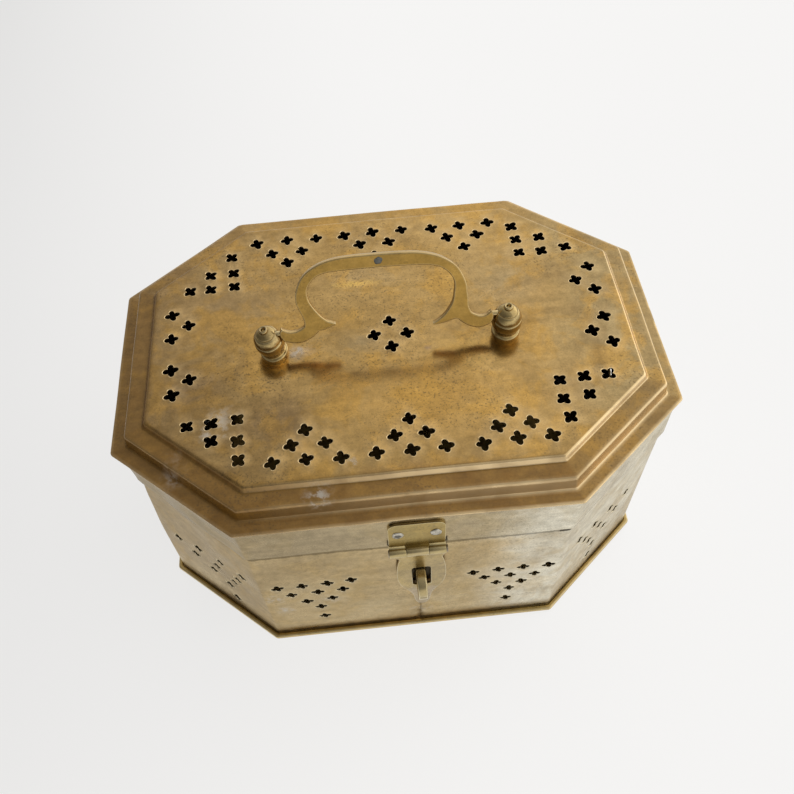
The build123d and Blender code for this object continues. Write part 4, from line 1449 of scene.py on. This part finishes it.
def build_plug():
    """Grey metal plug, dressed nearly flush with the grip on both faces."""
    radius, up, depth = 1.4, 22.65, handle_thick / 2
    profile = [(0, depth + 0.08), (radius * 0.6, depth + 0.07), (radius * 0.9, depth + 0.02),
               (radius, depth - 0.1), (radius, -depth + 0.1), (radius * 0.9, -depth - 0.02),
               (radius * 0.6, -depth - 0.07), (0, -depth - 0.08)]
    points, faces = lathe(profile, 36)
    moved = []
    for p in points:
        angle = atan2(p.y, p.x)
        lump = 1 + 0.10 * sin(2 * angle + 0.7) + 0.05 * sin(5 * angle)
        moved.append(leaned((p.x * lump - 1.7, p.z, up + p.y * lump)))
    mesh = make_mesh("plug", moved, faces)
    recalc(mesh)
    add_piece("grip_plug", mesh, "handle", [plug_metal], ["handle_plug"], smooth=45)


def post_profile():
    """Beehive finial from its dimple down to its stud, as (radius, height above the lid): soft
    tiers with a shallow crease between them."""
    tiers = [
        [(0.0, 12.35), (0.4, 12.4), (0.62, 12.75), (0.75, 13.1)],
        [(0.75, 13.1), (1.05, 13.3), (1.4, 13.2), (1.6, 12.8), (1.62, 12.5), (1.5, 12.25)],
        [(1.5, 12.25), (2.1, 12.0), (2.8, 11.5), (3.25, 11.0), (3.35, 10.75), (3.2, 10.55)],
        [(3.2, 10.55), (3.75, 10.25), (4.3, 9.4), (4.7, 8.4), (4.8, 7.75), (4.62, 7.45)],
        [(4.62, 7.45), (4.95, 7.1), (5.12, 6.2), (5.08, 5.0), (4.75, 3.8), (4.25, 2.9), (3.98, 2.35)],
        [(3.98, 2.35), (3.95, 1.7), (4.2, 1.3), (4.6, 1.1), (4.8, 0.8), (4.85, 0.4), (4.75, 0.0)],
    ]
    profile = []
    for tier in tiers:
        profile += smooth_path(tier, 4)[:-1]
    return profile + [Vector(p) for p in ((4.75, 0.0), (1.6, 0.0), (1.6, -4.2), (1.2, -4.6), (0, -4.6))]


def build_posts():
    """The left finial leans outward and a little forward; the right one stands straight."""
    for word, side, lean, nod, back in (("left", -1, 9.0, 3.2, 0.4), ("right", 1, 0.6, 0.5, -0.1)):
        points, faces = lathe(post_profile(), 72)
        tilt = Matrix.Rotation(radians(side * lean), 3, "Y") @ Matrix.Rotation(radians(nod), 3, "X")
        home = Vector((side * post_x + (0.4 if side < 0 else 0.0), post_y + back, panel_z))
        moved = []
        for p in points:
            turned = tilt @ p if p.z > 0 else p
            angle = atan2(p.y, p.x)
            wobble = 1 + 0.008 * sin(3 * angle + p.z) + 0.004 * sin(7 * angle + 2 * p.z)
            spot = Vector((turned.x * wobble, turned.y * wobble, max(turned.z, p.z - 0.4)))
            moved.append(waver(home + spot))
        mesh = make_mesh(f"post_{word}", moved, faces)
        recalc(mesh)
        edge_wear(mesh, 45)
        piece = add_piece(
            f"finial_{word}", mesh, "lid", [cast_brass], [f"post_{word}"], smooth=50)
        bore(piece, side)


def bore(piece, side):
    """Cross hole for the handle's trunnion, cut in the finial's inner side."""
    start, end = handle_low.x - 0.3, -(post_x - 7.0)
    x0, x1 = (start, end) if side < 0 else (-end, -start)
    points, faces = lathe([(0, x0), (1.15, x0), (1.15, x1), (0, x1)], 24)
    mesh = make_mesh("drill", [Vector((p.z, post_y + p.x, pivot_z + p.y)) for p in points], faces)
    recalc(mesh)
    drill = bpy.data.objects.new("drill", mesh)
    bpy.context.scene.collection.objects.link(drill)
    cut = piece.modifiers.new("bore", "BOOLEAN")
    cut.operation = "DIFFERENCE"
    cut.solver = "EXACT"
    cut.object = drill
    bpy.context.view_layer.update()
    result = bpy.data.meshes.new_from_object(piece.evaluated_get(bpy.context.evaluated_depsgraph_get()))
    piece.modifiers.clear()
    piece.data = result
    bpy.data.objects.remove(drill)


# ---------------------------------------------------------------- carried-over CAD nodes
def dress_cad():
    """Small hardware whose CAD shape is right keeps it and gets its own finish."""
    finishes = {
        "post_washers": leaf_brass, "post_nuts": leaf_brass, "hasp_pin": pin_steel,
        "hinge_left_pin": pin_steel, "hinge_right_pin": pin_steel,
        "base_solder": solder_grey, "lid_solder": solder_grey,
    }
    for name, material in finishes.items():
        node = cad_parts[name]
        for spot in node.material_slots:
            spot.material = material
        if "solder" not in name:
            soften(node, 0.12)


# ---------------------------------------------------------------- floor, light and camera
def build_stage():
    """White sheet of paper on a table, lit evenly enough that its own glow stands for the room's fill;
    far to the left it falls into shade."""
    size = 3.0
    mesh = bpy.data.meshes.new("floor")
    corners = [(-size, -size, 0), (size, -size, 0), (size, size, 0), (-size, size, 0)]
    mesh.from_pydata(corners, [], [(0, 1, 2, 3)])
    floor = bpy.data.objects.new("floor", mesh)
    bpy.context.scene.collection.objects.link(floor)
    g = Graph("floor_white")
    shade = g.mix(g.remap(g.noise(3.0, 2.0), 0.3, 0.7), (0.215, 0.214, 0.216), (0.225, 0.225, 0.228))
    material = g.finish(shade, 0.8, 0.0, g.noise(40.0), 0.02, 0.1)
    shader = next(node for node in g.tree.nodes if node.type == "BSDF_PRINCIPLED")
    shader.inputs["Emission Color"].default_value = (1.0, 0.995, 0.985, 1.0)
    g.feed(shader.inputs["Emission Strength"], g.remap(g.axis("X"), -0.70, 0.05, 0.34, 0.77))
    shader.inputs["Specular IOR Level"].default_value = 0.1
    mesh.materials.append(material)


def build_light():
    """Bright room: daylight from the right and back, dark toward the left, the front and overhead,
    with a paler band at the horizon."""
    world = bpy.data.worlds.new("room")
    bpy.context.scene.world = world
    world.use_nodes = True
    g = Graph.__new__(Graph)
    g.tree = world.node_tree
    g.tree.nodes.clear()
    g.place = g.node("ShaderNodeTexCoord").outputs["Generated"]
    toward = g.node("ShaderNodeVectorMath", operation="DOT_PRODUCT")
    g.feed(toward.inputs[0], g.place)
    toward.inputs[1].default_value = Vector((0.87, 0.50, 0.0))
    ramp = g.node("ShaderNodeValToRGB")
    g.feed(ramp.inputs[0], g.remap(toward.outputs["Value"], -1.0, 1.0, smooth=False))
    stops = [(0.0, 0.16), (0.2, 0.22), (0.36, 0.38), (0.50, 0.50), (0.58, 0.66), (0.66, 0.92), (0.78, 1.02),
             (0.90, 1.2), (1.0, 1.9)]
    while len(ramp.color_ramp.elements) < len(stops):
        ramp.color_ramp.elements.new(0.5)
    for element, (where, level) in zip(ramp.color_ramp.elements, stops):
        element.position = where
        element.color = (level, level, level, 1.0)
    height = g.node("ShaderNodeSeparateXYZ")
    g.feed(height.inputs[0], g.place)
    band = g.remap(height.outputs[2], 0.05, 0.45, 0.62, 0.0)
    band = g.times(band, g.remap(height.outputs[1], -0.75, -0.05, 1.0, 0.15))
    band = g.times(band, g.remap(height.outputs[0], -0.8, 0.1, 0.1, 1.0))
    background = g.node("ShaderNodeBackground")
    background.inputs["Color"].default_value = (1.0, 0.985, 0.96, 1.0)
    g.feed(background.inputs["Strength"], g.plus(ramp.outputs[0], band))
    out = g.node("ShaderNodeOutputWorld")
    g.feed(out.inputs[0], background.outputs[0])


def build_camera():
    """Looks down from the front at the photograph's height, heading and slight roll."""
    place = Vector((-7.8, -183.0, 319.1)) * MM
    heading, height, roll = radians(2.97), radians(54.76), radians(3.18)
    forward = Vector((sin(heading) * cos(height), cos(heading) * cos(height), -sin(height)))
    right = Vector((cos(heading), -sin(heading), 0))
    up = right.cross(forward)
    tilt = Matrix.Rotation(roll, 3, forward)
    right, up = tilt @ right, tilt @ up
    data = bpy.data.cameras.new("camera")
    data.sensor_width = 36.0
    data.lens = 37.32
    data.clip_start = 0.01
    camera = bpy.data.objects.new("camera", data)
    turn = Matrix((right, up, -forward)).transposed().to_4x4()
    camera.matrix_world = Matrix.Translation(place) @ turn
    bpy.context.scene.collection.objects.link(camera)
    bpy.context.scene.camera = camera
    bpy.context.scene.view_settings.view_transform = "Standard"


build_lid()
build_skirt()
build_wall()
build_base()
build_hasp_leaf()
build_hasp_plate()
build_staple()
build_rivets()
build_hinges()
build_handle()
build_plug()
build_posts()
dress_cad()
build_stage()
build_light()
build_camera()
